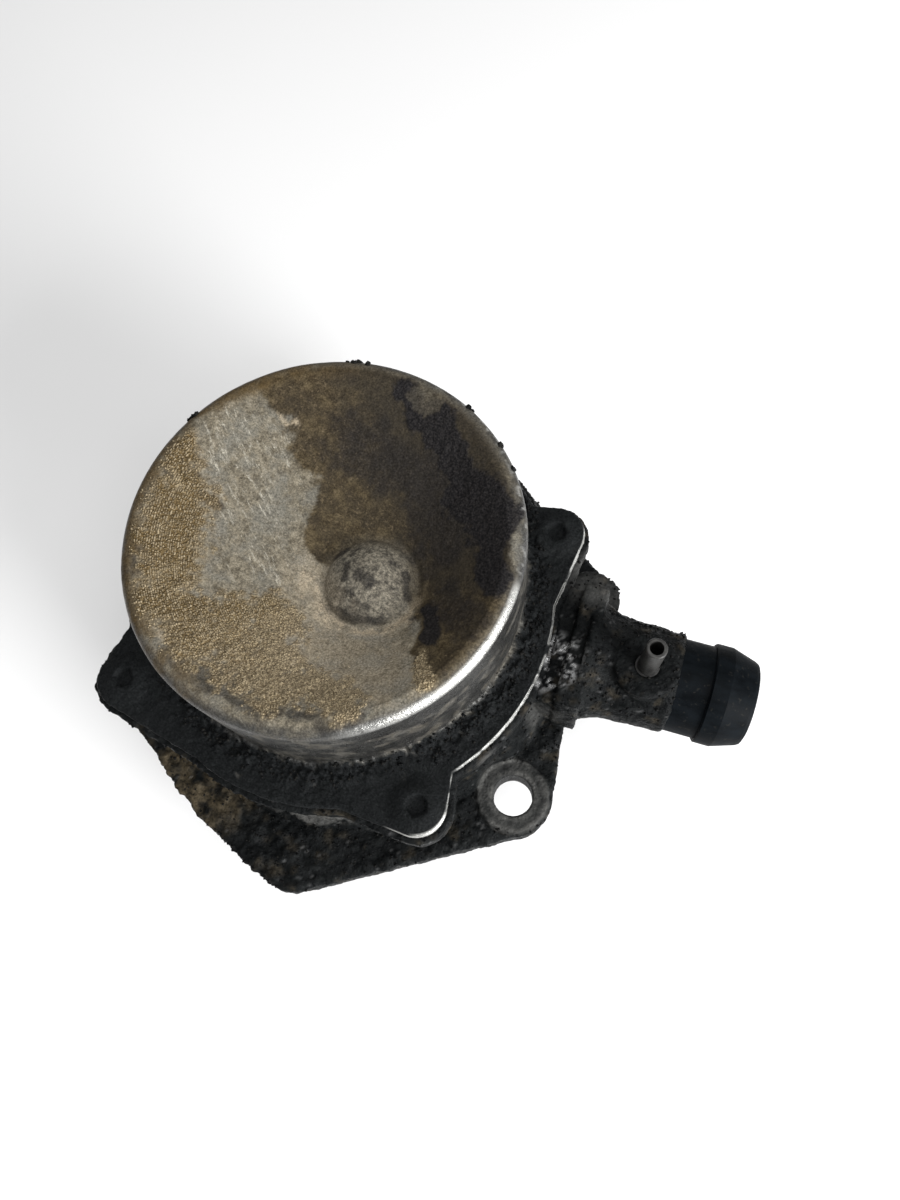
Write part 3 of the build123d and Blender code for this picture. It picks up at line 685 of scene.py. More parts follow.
def flange_rings(tree):
    """Rings out over the flange and its screw collars, round its edge and back below."""
    edge = sheet_edge(tree, (SHEET_LOW + SHEET_TOP) / 2)
    start = RIM_RADIUS + FOOT_Z - SHEET_TOP
    rings = [circle(start, SHEET_TOP)]
    for share in np.linspace(0, 1, FLANGE_RINGS + 1)[1:]:
        ring = circle(start + (edge - EDGE_INSET - start) * share, SHEET_TOP)
        drop_onto(tree, ring, SCREW_TIP_Z)
        rings.append(ring)
    for inset, z in (
        (0.1, SHEET_TOP - 0.1),
        (0.0, SHEET_TOP - 0.4),
        (0.0, SHEET_LOW + 0.4),
        (0.1, SHEET_LOW + 0.1),
        (UNDERSIDE_INSET, SHEET_LOW),
    ):
        rings.append(circle(edge - inset, z))
    return rings


def build_can():
    """The whole can as one closed mesh, with its outside finely divided.

    Also returns the number of its first inside point.
    """
    tree = cad_tree("cover_can")
    ring, angle = disc_grid()
    top = can_top(tree, ring, angle)
    rim = ring > DISH_RINGS
    top[rim] = project(tree, top[rim])
    outside = wall_rings(tree) + flange_rings(tree)
    inside = [circle(radius, z, centre) for radius, centre, z in INSIDE_RINGS]
    peak = [[*DOME_CENTRE, INSIDE_PEAK_Z]]
    points = np.concatenate([top, *outside, *inside, peak])

    faces = disc_faces().tolist()
    upper = disc_edge(ring, angle)
    for k in range(len(outside) + len(inside)):
        lower = len(top) + k * AROUND + np.arange(AROUND)
        quads = np.stack([upper, lower, np.roll(lower, -1), np.roll(upper, -1)], axis=1)
        faces += quads.tolist()
        upper = lower
    last = len(points) - 1
    faces += [[a, last, b] for a, b in zip(upper.tolist(), np.roll(upper, -1).tolist())]
    first_inside = len(top) + (len(outside) - 1) * AROUND
    return new_piece("can_skin", points, faces), first_inside


# Marks on the can's top: strips (x1, y1, x2, y2, half width)
SAND_STRIPS = (
    (-36.5, 12.0, -35.0, 5.0, 4.0),
    (-33.5, 1.0, -32.0, -8.0, 8.5),
    (-30.0, -12.0, -27.0, -22.0, 7.5),
    (-25.0, -22.0, -18.0, -29.0, 7.0),
    (-13.0, -23.0, -6.0, -30.0, 8.0),
    (-8.0, -18.0, -3.0, -19.0, 5.0),
    (-2.0, -24.0, 3.0, -33.0, 7.0),
    (8.0, -31.0, 17.0, -32.5, 5.0),
    (28.5, -21.0, 30.5, -24.0, 2.0),
)
OIL_STRIPS = (
    (-16.0, 35.0, 20.0, 33.0, 12.0),
    (-5.0, 25.0, 30.0, 22.0, 12.5),
    (-1.5, 9.0, -0.5, 3.0, 6.8),
    (5.0, 12.0, 24.0, 8.0, 13.5),
    (28.0, 8.0, 33.0, -6.0, 12.5),
    (31.0, -8.0, 33.0, -17.0, 8.0),
)
SOOT_STRIPS = (
    (6.0, 38.0, 13.0, 32.0, 3.4),
    (14.0, 33.0, 19.0, 27.0, 4.4),
    (19.0, 26.0, 27.0, 19.0, 4.2),
    (27.0, 18.0, 34.0, 13.0, 6.8),
    (35.0, 10.0, 37.5, 0.0, 3.6),
    (26.0, -9.0, 29.0, -16.0, 2.8),
)
SOOT_VEIL_STRIPS = (
    (-3.0, 24.5, 16.0, 20.0, 7.0),
    (16.0, 16.0, 26.0, 6.0, 6.5),
    (28.0, -6.0, 34.0, -9.0, 5.0),
    (-35.0, -14.0, -37.0, -20.0, 3.8),
    (-20.0, -34.0, 4.0, -38.5, 3.0),
    (8.0, -39.5, 22.0, -35.0, 1.8),
)
PALE_STRIPS = (
    (-20.0, 24.5, -15.5, 22.0, 0.5),
    (-25.0, -30.5, -23.0, -32.0, 0.9),
    (-3.0, -8.0, 2.0, -13.5, 1.8),
    # The last three trace the lip under the dome: painted highlight
    (2.0, -14.2, 10.0, -15.6, 0.8),
    (10.0, -15.6, 16.5, -14.0, 0.8),
    (16.5, -14.0, 20.5, -10.5, 0.8),
)
DARK_SPOTS = (
    (-37.5, 5.0, -36.5, 4.5, 1.4),
    (-33.0, 3.8, -25.0, 1.4, 1.7),
    (-35.0, 8.0, -31.0, 6.0, 1.0),
    (20.5, -9.6, 22.0, -10.4, 1.3),
    (5.5, -3.0, 6.5, -6.5, 1.1),
    (9.0, -4.6, 12.0, -5.5, 1.9),
    (2.0, -1.0, 3.5, 1.5, 1.2),
    # The next two run along the dome's lower edge: painted shade, a dark crescent under the dome
    (2.5, -11.6, 10.0, -13.4, 1.5),
    (10.0, -13.4, 16.0, -12.0, 1.1),
    (18.0, -1.0, 19.6, -5.5, 1.1),
)
PATCH_STRIPS = ((9.0, 37.0, 14.0, 35.8, 2.6),)
SCRATCH_ZONE = ((-27.0, 12.0, -10.0, -9.0, 9.0), (-30.0, 20.0, -12.0, 16.0, 7.0))
WARM_ZONE = ((-4.0, -4.0, 4.0, -14.0, 6.0), (6.0, -22.0, 20.0, -24.0, 12.0))
# From the dome's centre towards the lower right, where the lip's painted highlight goes
LIP_HIGHLIGHT_WAY = np.array((0.35, -0.94))
# The corner of the flange's edge where its painted highlight is widest
HIGHLIGHT_CORNER = (37.5, -48.5)
# Grease banked up round each screw collar
BANK_HEIGHT = 1.05
BANK_FLAT_RADIUS = 2.9
BANK_RADIUS = 7.2
# Dents in the dish: x, y, radius and depth
DENTS = (
    (-14.0, 8.0, 9.0, 0.25),
    (20.0, 20.0, 8.0, 0.35),
    (-20.0, -22.0, 10.0, -0.2),
    (8.0, -28.0, 7.0, 0.2),
)


def can_fields(points, normals):
    """The places and random fields that the can's masks are made from."""
    wander = np.stack([lumps(points, 8.0, 6, 3.0), lumps(points, 8.0, 6, 9.0)], axis=1)
    ragged = points.copy()
    ragged[:, :2] += wander * 2.6
    mottle = lumps(points, 4.5, 6, 1.0)
    radius = np.hypot(points[:, 0], points[:, 1])
    on_top = smooth(normals[:, 2], 0.25, 0.75) * (points[:, 2] > DISH_LOW_Z)
    return SimpleNamespace(
        points=points,
        ragged=ragged,
        z=points[:, 2],
        radius=radius,
        turn=np.degrees(np.arctan2(points[:, 1], points[:, 0])),
        facing_up=normals[:, 2],
        on_top=on_top,
        inner_top=on_top * (1 - smooth(radius + 0.8 * mottle, 39.8, 42.2)),
        mottle=mottle,
        speckle=lumps(points, 1.5, 4, 5.0),
    )


def sand_mask(f):
    """Crust of sand inside the rim at the left and below."""
    sand = smooth(strips(f.ragged, SAND_STRIPS) + 0.5 * f.speckle + 0.3 * f.mottle, -0.15, 0.6)
    return sand * (f.inner_top * (1 - smooth(strips(f.ragged, PATCH_STRIPS), 0, 0.2)))


def stain_masks(f):
    """Oil stain and soot on the top, both thinner on one patch near the rim, with painted shade on
    the dome's lower side added to the soot.
    """
    patch = smooth(strips(f.ragged, PATCH_STRIPS) + 0.3 * f.speckle, 0.1, 0.3) * f.on_top
    on_dome = near(f.points, DOME_CENTRE, 12.5)

    oil = smooth(strips(f.ragged, OIL_STRIPS) + 0.06 * f.speckle, -0.02, 0.12)
    oil *= f.on_top * (1 - on_dome * 0.92) * (1 - 0.6 * smooth(f.radius, 39.5, 41.5))

    thick = smooth(strips(f.ragged, SOOT_STRIPS) + 0.22 * f.speckle, -0.05, 0.3) * 0.95
    veil = smooth(strips(f.ragged, SOOT_VEIL_STRIPS) + 0.3 * f.mottle, -0.1, 0.5) * 0.6
    spots = smooth(strips(f.points, DARK_SPOTS) + 0.5 * f.speckle, 0.0, 0.5) * 0.75
    left_of_dome = DOME_CENTRE[0] - f.points[:, 0]
    below = DOME_CENTRE[1] - 3.0 - f.points[:, 1] + 0.3 * left_of_dome
    # Painted shade: a band across the dome's lower side, darkened with the soot
    dome_low_shade = smooth(below, 0, 3) * (1 - smooth(below, 4.5, 6.5))
    dome_dirt_and_shade = smooth(0.6 * f.mottle + 0.8 * f.speckle + 0.5 * dome_low_shade, 0.0, 0.9)
    soot_and_shade = np.maximum.reduce([thick, veil, spots, on_dome * dome_dirt_and_shade * 0.7]) * f.on_top
    return oil * (1 - 0.3 * patch), soot_and_shade * (1 - 0.5 * patch)


def pale_dust_and_highlight_mask(f, oil):
    """Pale dust in streaks and thinly over the warm zone, and a painted highlight on the lower
    right of the lip beside the dome.
    """
    pale = smooth(strips(f.ragged, PALE_STRIPS) + 0.9 * f.speckle, -0.1, 1.3) * f.on_top * 0.75
    warm = smooth(strips(f.ragged, WARM_ZONE) + 0.4 * f.mottle, -0.1, 0.8) * f.on_top * 0.3
    across_dome = f.points[:, :2] - DOME_CENTRE
    from_dome = np.linalg.norm(across_dome, axis=1)
    lower_right = smooth((across_dome @ LIP_HIGHLIGHT_WAY) / np.maximum(from_dome, 0.1), 0.1, 0.8)
    # Painted highlight on the lip's lower-right side
    lip_highlight = bell(from_dome, DOME_RADIUS + 1.3, 0.9) * lower_right * smooth(f.speckle, -0.8, 0.0)
    return np.maximum.reduce([pale, warm * (1 - oil), lip_highlight * f.on_top])


def dust_mask(f):
    """Dust all over the top, and thinly in patches on the rim and the wall."""
    on_rim = f.on_top * (1 - f.inner_top)
    dust = 0.95 * f.inner_top + 0.35 * on_rim * smooth(f.mottle, -0.3, 0.3)
    return np.maximum(dust, 0.3 * smooth(f.mottle, -0.2, 0.5) * (1 - f.on_top))


def grease_mask(f):
    """Grease over the flange, up the foot of the wall and splashed a little higher."""
    above = f.z - SHEET_TOP
    edge = SHEET_TOP + 1.8 + 1.8 * lumps(f.points, 5.0, 4, 4.0) + 1.0 * f.speckle
    grease = 1 - smooth(f.z - edge, -0.6, 0.6)
    grease *= smooth(f.radius, 42.0, 42.8)
    splash = smooth(lumps(f.points, 2.0, 5, 8.0) - above * 0.08, 0.15, 0.6)
    grease = np.maximum(grease, 0.45 * splash * (1 - f.on_top))
    for ear in EARS:
        grease = np.maximum(grease, near(f.points, ear, 10.0) * (f.z < SHEET_TOP + 2))
    return grease


def flange_edge_highlight_mask(f):
    """Painted highlight along the flange's edge: pale polished steel only on the side lit from the
    window, towards the spout, widest round one corner.
    """
    # The flange's edge is painted pale and polished only on this side, which faces the window
    # light
    lit = smooth(f.turn, -64, -54) * (1 - smooth(f.turn, 24, 34))
    steep = 1 - abs(f.facing_up)
    upper_edge = smooth(f.z, SHEET_TOP - 0.75, SHEET_TOP - 0.5) * (f.z < SHEET_TOP + 0.1)
    painted_highlight = upper_edge * smooth(steep, 0.1, 0.35) * lit * (f.radius > 46)
    painted_highlight *= smooth(f.mottle, -0.5, 0.1)
    corner = near(f.points, HIGHLIGHT_CORNER, 5.5) * smooth(steep, 0.04, 0.2)
    on_edge = (f.z > SHEET_LOW + 0.3) * (f.z < SHEET_TOP + 0.2)
    painted_highlight = np.maximum(painted_highlight, 0.9 * corner * on_edge)
    for ear in EARS:
        painted_highlight *= smooth(gap_to(f.points, ear), 4.0, 5.0)
    return painted_highlight


def rim_masks(f):
    """The clean stretch of the rim towards the spout, and the painted highlight on the rim: pale
    polished steel on the band that faces the window light, strongest towards the spout's side,
    with a thin line along the rim's edge further right.
    """
    clean = (f.z > RIM_LOW_Z) * smooth(f.radius, 40.9, 41.6)
    clean = clean * smooth(f.turn, -72, -54) * (1 - smooth(f.turn, -4, 3))
    # The band of the rim that faces the window light, where the painted highlight goes
    facing = smooth(f.facing_up, 0.22, 0.34) * (1 - smooth(f.facing_up, 0.80, 0.90))
    polish_highlight = clean * facing * smooth(f.mottle + 0.5 * f.speckle, -1.1, -0.5)
    polish_highlight *= 0.55 + 0.45 * smooth(f.turn, -42, -20)
    # A thin painted highlight along the rim's outer edge at the right
    rim_edge_highlight = (f.z > RIM_LOW_Z) * smooth(f.radius, 41.4, 42.2) * smooth(f.facing_up, 0.3, 0.6)
    rim_edge_highlight = rim_edge_highlight * smooth(np.cos(np.radians(f.turn - 20)), 0.1, 0.8)
    rim_edge_highlight = rim_edge_highlight * smooth(f.speckle, 0.1, 0.6)
    return clean, np.maximum(polish_highlight, 0.5 * rim_edge_highlight)


def brown_mask(f, sand):
    """Brown tint on the rim and in the sand, on the left."""
    left = smooth(np.cos(np.radians(f.turn - 178)), -0.1, 0.8)
    on_rim = smooth(f.radius + 1.5 * f.mottle, 37.0, 40.5) * smooth(f.z + f.mottle, 52, 57)
    return np.maximum(left * on_rim, 0.9 * left * sand) * smooth(f.mottle, -1.0, 0.0)


def shade_mask(f):
    """Painted shade: the oil stain made darker at the upper right, where the dish faces away from
    the light.
    """
    x, y = f.points[:, 0], f.points[:, 1]
    shade = smooth(x + 0.8 * y + 6 * f.mottle, 10.0, 30.0)
    return shade * smooth(y + 3 * f.mottle, -8.0, 0.0)


def can_masks(points, normals):
    """Where the can is sandy, oily, dusty, greasy and dark with soot or painted shade, and where
    highlights are painted, from 0 to 1.
    """
    f = can_fields(points, normals)
    sand = sand_mask(f)
    oil, soot_and_shade = stain_masks(f)
    painted_highlight = flange_edge_highlight_mask(f)
    rim_clean, polish_highlight = rim_masks(f)
    scratch = np.maximum(0.2, smooth(strips(f.ragged, SCRATCH_ZONE), 0.0, 0.6)) * (1 - soot_and_shade)
    return {
        "sand": sand,
        "oil": oil,
        "soot_and_shade": soot_and_shade,
        "pale": pale_dust_and_highlight_mask(f, oil),
        "scratch": scratch * f.on_top,
        "grease": grease_mask(f) * (1 - 0.9 * rim_clean) * (1 - painted_highlight),
        "dust": dust_mask(f) * (1 - 0.95 * rim_clean),
        "painted_highlight": np.maximum(painted_highlight * 0.95, 0.85 * polish_highlight),
        "brown": brown_mask(f, sand),
        "shade": shade_mask(f),
        "dome": near(points, DOME_CENTRE, 14.0) * f.on_top,
    }


def top_relief(points, masks):
    """Crusts, dents and the groove round the dome, in millimetres."""
    on_dish = points[:, 2] > DISH_LOW_Z
    crust = grains(points, 1.05, 4.0)
    relief = masks["sand"] * (0.10 + 0.24 * crust + 0.26 * lumps(points, 2.6, 4, 6.0))
    relief += masks["soot_and_shade"] * 0.17 * (0.6 + lumps(points, 1.3, 4, 8.0))
    relief += masks["oil"] * 0.06 * (1 + lumps(points, 2.0, 3, 2.5))
    relief += masks["dust"] * 0.07 * lumps(points, 1.1, 4, 7.7)
    dome_dents = near(points, DOME_CENTRE, 13.0) * lumps(points, 3.2, 4, 5.5)
    relief += on_dish * 0.2 * dome_dents
    from_dome = gap_to(points, DOME_CENTRE)
    relief -= on_dish * 0.40 * bell(from_dome, DOME_RADIUS + 0.5, 0.55)
    relief += on_dish * 0.22 * bell(from_dome, DOME_RADIUS + 1.9, 0.6)
    for x, y, reach, depth in DENTS:
        relief -= on_dish * depth * near(points, (x, y), reach)
    return relief


def flange_relief(points, masks):
    """Grease in clumps, thick along the foot of the wall and thin on one ear, in millimetres."""
    radius = np.hypot(points[:, 0], points[:, 1])
    foot = 1 - smooth(radius, 45.5, 49.0)
    calm = near(points, EARS[1], 15.0)
    clumps = 0.3 + 1.0 * lumps(points, 2.8, 5, 1.7) + 0.6 * grains(points, 1.5, 2.2)
    low = points[:, 2] < SHEET_TOP + 2.5
    thick = masks["grease"] * (0.22 + 0.75 * foot) * (1 - 0.75 * calm) * low
    relief = thick * np.maximum(clumps, -0.1)
    relief += masks["grease"] * 0.16 * (1 - calm) * grains(points, 0.9, 3.1)
    return relief


def fill_collars(points):
    """Banks grease up round the screw collars, so that each ear is one smooth swelling."""
    height = points[:, 2]
    flat_top = (height > SHEET_TOP - 0.01) & (height < SHEET_TOP + 2)
    for ear in EARS:
        gap = gap_to(points, ear)
        bank = SHEET_TOP + BANK_HEIGHT * (1 - smooth(gap, BANK_FLAT_RADIUS, BANK_RADIUS))
        banked = flat_top & (gap > EAR_HOLE_RADIUS + 0.1) & (gap < BANK_RADIUS)
        points[banked, 2] = np.maximum(points[banked, 2], bank[banked])
        hole = flat_top & (gap < EAR_HOLE_RADIUS)
        points[hole, 2] = SCREW_TIP_Z + 0.05


def make_can():
    piece, first_inside = build_can()
    points = points_of(piece.data)
    fill_collars(points)
    set_points(piece.data, points)
    normals = normals_of(piece.data)
    masks = can_masks(points, normals)
    relief = top_relief(points, masks) + flange_relief(points, masks)
    relief += 0.05 * lumps(points, 14.0, 2, 0.4)
    relief[first_inside:] = 0
    moved = points + normals * relief[:, None]
    set_points(piece.data, moved)
    set_masks(piece.data, masks)
    finish_piece(piece, "housing", "can", LOOKS["can"], "cover_can")
    return SimpleNamespace(points=moved, normals=normals, masks=masks)


# ---- the body's skin

BODY_VOXEL = 0.62


def remeshed(nodes, name, voxel):
    """CAD nodes copied into one even mesh, put back onto the CAD's faces."""
    tree = cad_tree(*nodes)
    joined = bmesh.new()
    for node in nodes:
        joined.from_mesh(frame["nodes"][node].data)
    mesh = bpy.data.meshes.new(name)
    joined.to_mesh(mesh)
    joined.free()
    piece = add_object(name, mesh)
    change = piece.modifiers.new("remesh", "REMESH")
    change.mode = "VOXEL"
    change.voxel_size = voxel * MM
    change.use_smooth_shade = True
    graph = bpy.context.evaluated_depsgraph_get()
    piece.data = bpy.data.meshes.new_from_object(piece.evaluated_get(graph))
    piece.modifiers.clear()
    piece.data.name = name
    set_points(piece.data, project(tree, points_of(piece.data), voxel))
    return piece


def hidden_in_body(points):
    """True inside the casting, in the spout's bore, on the mounting face and under the can."""
    x, y, z = points.T
    radius = np.hypot(x, y)
    hidden = (radius < CHAMBER_RADIUS + 1) & (z > CAVITY_LOW_Z)
    hidden |= (np.hypot(y, z - SPOUT_Z) < SPOUT_BORE) & (x > SPOUT_START)
    hidden |= z < 0.3
    at_sheet = z > SHEET_LOW - 1.2
    hidden |= at_sheet & (radius < 49)
    for ear in EARS:
        hidden |= at_sheet & (gap_to(points, ear) < 6.8)
    return hidden


def body_masks(points):
    """Where the casting is outside, clean, bare, brown and wet, from 0 to 1."""
    z = points[:, 2]
    clean = np.zeros(len(points))
    worn_rings = np.zeros(len(points))
    for hole in BOLT_HOLES:
        gap = gap_to(points, hole)
        on_face = 1 - smooth(gap, BOLT_FACE_RADIUS - 0.6, BOLT_FACE_RADIUS + 0.8)
        clean = np.maximum(clean, on_face)
        for ring_radius in (BOLT_RADIUS + 0.7, BOLT_FACE_RADIUS - 0.5):
            worn_rings = np.maximum(worn_rings, bell(gap, ring_radius, 0.5))
    outside = ~hidden_in_body(points)
    mottle = lumps(points, 4.0, 5, 2.0)
    speckle = lumps(points, 1.5, 4, 3.0)

    on_neck = smooth(z + 2 * mottle, 10, 13) * (1 - smooth(z + 2 * mottle, 20, 25))
    neck = near(points, (14.0, -55.0), 19.0) * on_neck * smooth(speckle + mottle, -0.9, -0.1)
    bare = np.maximum(0.55 * neck, 0.25 * near(points, (52.5, -14.0), 6.0) * on_neck)
    bare = np.maximum(bare, 0.3 * near(points, (57.0, 17.0), 9.0) * (z > 8))
    bare = np.maximum(bare, clean * (0.22 + 0.4 * worn_rings) * smooth(mottle, -0.8, 0.1))

    brown = near(points, (-24.0, -50.0), 20.0) * (z < 22) * smooth(mottle, -0.6, 0.2)
    brown = np.maximum(brown, 0.3 * smooth(mottle, 0.2, 0.8))
    wet = near(points, (51.5, -5.0), 9.0) * (z > 15) * smooth(speckle, 0.0, 0.3)
    drops = smooth(lumps(points, 1.1, 3, 6.5), 0.6, 0.8) * outside
    wet = np.maximum(wet, 0.15 * drops * (1 - clean))
    return {
        "outside": outside.astype(float),
        "clean": clean,
        "bare": bare,
        "brown": brown * (1 - clean),
        "wet": wet,
    }


def body_relief(points, normals, masks):
    """Grease in clumps on the outside, thicker facing up and at one corner of the base."""
    up = smooth(normals[:, 2], -0.3, 0.7)
    z = points[:, 2]
    thick = masks["outside"] * (1 - masks["clean"]) * (0.35 + 0.65 * up)
    thick *= 1 - 0.85 * smooth(masks["bare"], 0.3, 0.8)
    base_corner = near(points, (-12.0, -58.0), 30.0) * (z < 20)
    thick *= 1 + 0.6 * base_corner
    thin_at_right = (z > SHEET_LOW - 2.3) * smooth(points[:, 0], 20, 40)
    thick *= 1 - 0.6 * thin_at_right
    clumps = 0.2 + 0.9 * lumps(points, 3.6, 5, 1.1) + 0.7 * grains(points, 2.0, 5.0)
    relief = thick * 0.62 * np.maximum(clumps, -0.15)
    relief += thick * 0.2 * grains(points, 1.1, 7.0)
    relief += masks["outside"] * 0.04 * lumps(points, 1.2, 3, 9.0)
    return relief


def make_body():
    piece = remeshed(("pump_body", "valve_housing"), "body_skin", BODY_VOXEL)
    points = points_of(piece.data)
    normals = normals_of(piece.data)
    masks = body_masks(points)
    relief = body_relief(points, normals, masks)
    moved = points + normals * relief[:, None]
    moved[:, 2] = np.where(points[:, 2] > -0.01, np.maximum(moved[:, 2], 0), moved[:, 2])
    set_points(piece.data, moved)
    set_masks(piece.data, masks)
    piece.data.shade_smooth()
    finish_piece(piece, "housing", "body", LOOKS["body"], "pump_body", "valve_housing")
    return SimpleNamespace(points=moved, normals=normals, masks=masks)


# ---- grains and crumbs

# How far a lump's middle stands out of the surface, as a share of its size
RAISED = 0.04
SAND_COUNT = 4200
CAN_CRUMB_COUNT = 1500
BODY_CRUMB_COUNT = 1700
BITS_IN_FLAKE = 7
BIT_SPREAD = 0.5
RIM_BIT_Z = 57.4
RIM_BITS = (
    (-8.0, 41.6),
    (-6.0, 42.0),
    (-4.0, 42.2),
    (20.8, 37.2),
    (30.5, 30.0),
    (34.2, 25.6),
    (-38.2, 19.0),
)


def small_stone():
    """One rounded lump as points and faces, about 1 across."""
    mesh = bmesh.new()
    bmesh.ops.create_icosphere(mesh, subdivisions=1, radius=0.5)
    points = np.array([tuple(v.co) for v in mesh.verts])
    faces = np.array([[v.index for v in f.verts] for f in mesh.faces])
    mesh.free()
    return points, faces


def scatter(name, spots, normals, sizes, rng):
    """Many lumps in one mesh, each turned and stretched at random, and about half sunk in."""
    stone, stone_faces = small_stone()
    all_points, all_faces = [], []
    for k, (spot, normal, size) in enumerate(zip(spots, normals, sizes)):
        spin = np.linalg.qr(rng.normal(size=(3, 3)))[0]
        shape = stone * (1 + 0.13 * rng.normal(size=(len(stone), 1)).clip(-1.5, 1.5))
        shape = (shape * rng.uniform(0.65, 1.25, 3)) @ spin * size
        all_points.append(shape + spot + normal * size * RAISED)
        all_faces.append(stone_faces + k * len(stone))
    return new_piece(name, np.concatenate(all_points), np.concatenate(all_faces).tolist())


def pick(weights, count, rng):
    """Indices drawn by weight, without repeats."""
    keep = np.flatnonzero(weights > 0.02)
    share = weights[keep] / weights[keep].sum()
    return keep[rng.choice(len(keep), min(count, len(keep)), replace=False, p=share)]


def scatter_on(skin, name, slot, look, weights, count, size_range, rng):
    """A housing piece of lumps on a skin, at points drawn by weight."""
    chosen = pick(weights, count, rng)
    sizes = rng.uniform(*size_range, len(chosen))
    piece = scatter(name, skin.points[chosen], skin.normals[chosen], sizes, rng)
    finish_piece(piece, "housing", slot, LOOKS[look])


def make_sand(can, rng):
    weights = can.masks["sand"] ** 2
    scatter_on(can, "sand_grains", "can", "sand", weights, SAND_COUNT, (0.25, 0.55), rng)


def make_crumbs(can, body, rng):
    """Grease crumbs along the can's foot and on the body's ledges."""
    radius = np.hypot(can.points[:, 0], can.points[:, 1])
    foot = can.masks["grease"] * (1 - smooth(radius, 46, 50))
    foot *= can.points[:, 2] > SHEET_LOW + 0.7
    scatter_on(can, "foot_crumbs", "can", "crumbs", foot, CAN_CRUMB_COUNT, (0.35, 1.0), rng)

    facing_up = smooth(body.normals[:, 2], 0.0, 0.8)
    loose = body.masks["outside"] * (1 - body.masks["clean"]) * facing_up
    loose *= 1 - smooth(body.masks["bare"], 0.2, 0.5)
    scatter_on(body, "body_crumbs", "body", "crumbs", loose, BODY_CRUMB_COUNT, (0.3, 0.85), rng)


def make_rim_bits(rng):
    """Flakes of dirt stuck to the back of the can's rim."""
    tree = cad_tree("cover_can")
    spots, normals, sizes = [], [], []
    for x, y in RIM_BITS:
        for _ in range(BITS_IN_FLAKE):
            beside = rng.normal(size=3) * BIT_SPREAD
            place = Vector((x + beside[0], y + beside[1], RIM_BIT_Z + beside[2]))
            spot, normal, _, _ = tree.find_nearest(place)
            spots.append(tuple(spot))
            normals.append(tuple(normal))
            sizes.append(rng.uniform(0.7, 1.4))
    piece = scatter("rim_dirt", np.array(spots), np.array(normals), sizes, rng)
    finish_piece(piece, "housing", "can", LOOKS["crumbs"])


# ---- coil springs

WIRE_SIDES = 12
COIL_STEPS = 64


def coil_mesh(name, start, direction, length, radius, wire, turns):
    """A coil spring's wire as a tube, with rounded ends."""
    axis = np.array(direction, float)
    first = np.array((0.0, 1.0, 0.0))
    second = np.cross(axis, first)
    share = np.linspace(0, 1, int(turns * COIL_STEPS))
    turn = share * turns * FULL_TURN
    outward = np.cos(turn)[:, None] * first + np.sin(turn)[:, None] * second
    middle = np.array(start) + share[:, None] * length * axis + radius * outward
    ends = wire * np.minimum(1, np.sqrt(np.minimum(share, 1 - share) * len(share) / 4) + 0.3)
    around = np.arange(WIRE_SIDES) * FULL_TURN / WIRE_SIDES
    ring = (
        np.cos(around)[None, :, None] * outward[:, None, :]
        + np.sin(around)[None, :, None] * axis[None, None, :]
    )
    points = (middle[:, None, :] + ends[:, None, None] * ring).reshape(-1, 3)
    corner = np.arange(len(share) - 1)[:, None] * WIRE_SIDES + np.arange(WIRE_SIDES)
    beside = np.roll(corner, -1, axis=1)
    quads = np.stack([corner, corner + WIRE_SIDES, beside + WIRE_SIDES, beside], axis=2)
    faces = quads.reshape(-1, 4).tolist()
    faces.append(list(range(WIRE_SIDES)))
    faces.append(list(range(len(points) - 1, len(points) - 1 - WIRE_SIDES, -1)))
    return new_piece(name, points, faces)


def make_spring(coil, node):
    """A coil in place of a CAD node, riding on the housing in oiled spring steel, with a mesh of
    its own.
    """
    finish_piece(coil, "housing", "spring_steel", LOOKS["spring_steel"], node)
    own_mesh(coil)


def make_springs():
    """Coils in place of the return spring and the check valve's spring."""
    way = (0, 0, 1)
    coil = coil_mesh("return_coil", (0.0, 0.0, -14.9), way, 25.0, 11.3, 1.1, 5.5)
    make_spring(coil, "return_spring")

    way = (1, 0, 0)
    coil = coil_mesh("valve_coil", (57.0, 0.0, SPOUT_Z), way, 5.3, 4.9, 0.3, 3.0)
    make_spring(coil, "check_valve_spring")


# ---- floor, light and camera, in metres

FLOOR_HALF = 6.0
FLOOR_GAP = 0.0002


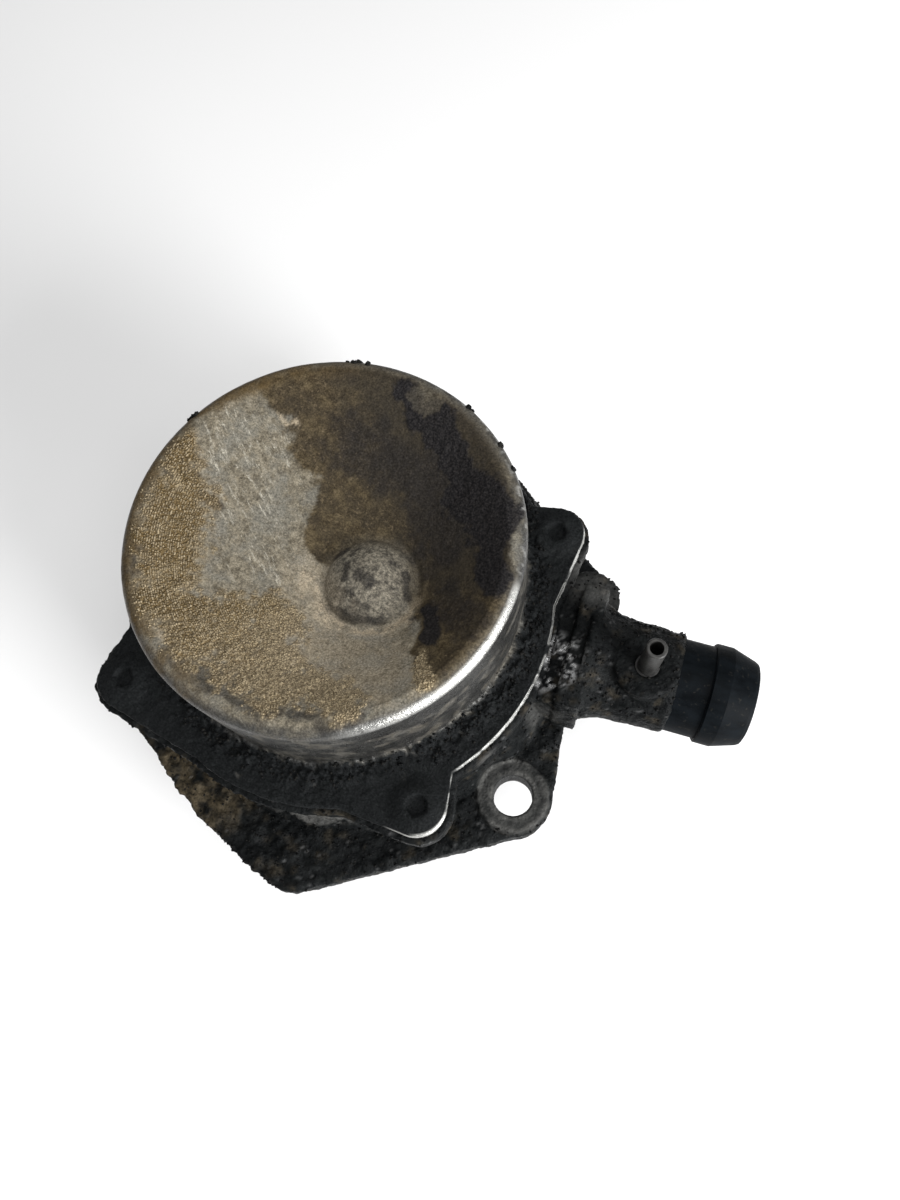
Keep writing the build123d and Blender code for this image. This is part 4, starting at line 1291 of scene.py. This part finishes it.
def make_floor():
    """A pale sheet just below the object."""
    mesh = bpy.data.meshes.new("floor")
    half = FLOOR_HALF
    corners = [(-half, -half, 0), (half, -half, 0), (half, half, 0), (-half, half, 0)]
    mesh.from_pydata(corners, [], [(0, 1, 2, 3)])
    floor = add_object("floor", mesh)
    floor.location.z = cad_box[0].z - FLOOR_GAP
    look = Shader("floor_pale")
    shade = look.noise(400.0, detail=2.0)
    colour = look.blend(shade, (0.70, 0.70, 0.70), (0.74, 0.74, 0.74))
    mesh.materials.append(look.finished(colour, 0.9))


WORLD_STRENGTH = 0.50
LIGHT_TARGET = (0.0, 0.0, 0.03)
# Name, place, width and height in metres, and watts
LIGHTS = (
    ("window_right", (0.66, -0.30, 0.25), (0.28, 0.5), 13.0),
    ("ceiling", (0.30, -0.05, 0.90), (0.7, 0.7), 6.2),
)


def area_light(name, place, size, power):
    data = bpy.data.lights.new(name, "AREA")
    data.shape = "RECTANGLE"
    data.size, data.size_y = size
    data.energy = power
    lamp = add_object(name, data)
    lamp.location = place
    way = Vector(LIGHT_TARGET) - Vector(place)
    lamp.rotation_euler = way.to_track_quat("-Z", "Y").to_euler()


def make_lights():
    """A soft ceiling light and a low window to the right, in a dim room."""
    world = bpy.data.worlds.new("studio")
    world.use_nodes = True
    background = world.node_tree.nodes["Background"]
    background.inputs["Color"].default_value = (1, 1, 1, 1)
    background.inputs["Strength"].default_value = WORLD_STRENGTH
    bpy.context.scene.world = world
    for light in LIGHTS:
        area_light(*light)


CAMERA_PLACE = (0.05845, -0.05784, 0.21717)
CAMERA_RIGHT = (0.952221, 0.296584, -0.072890)
CAMERA_UP = (-0.256397, 0.905980, 0.336840)
CAMERA_LENS = 25.5


def make_camera():
    data = bpy.data.cameras.new("camera")
    data.sensor_width = 36.0
    data.lens = CAMERA_LENS
    data.clip_start = 0.01
    camera = add_object("camera", data)
    right = Vector(CAMERA_RIGHT).normalized()
    up = Vector(CAMERA_UP).normalized()
    back = right.cross(up).normalized()
    turn = Matrix((right, up, back)).transposed()
    camera.matrix_world = Matrix.Translation(CAMERA_PLACE) @ turn.to_4x4()
    bpy.context.scene.camera = camera


# ---- the scene

random_source = np.random.default_rng(7)
dress_cad_nodes()
can_made = make_can()
body_made = make_body()
make_sand(can_made, random_source)
make_crumbs(can_made, body_made, random_source)
make_rim_bits(random_source)
make_springs()
make_floor()
make_lights()
make_camera()

bpy.context.scene.view_settings.view_transform = "Standard"
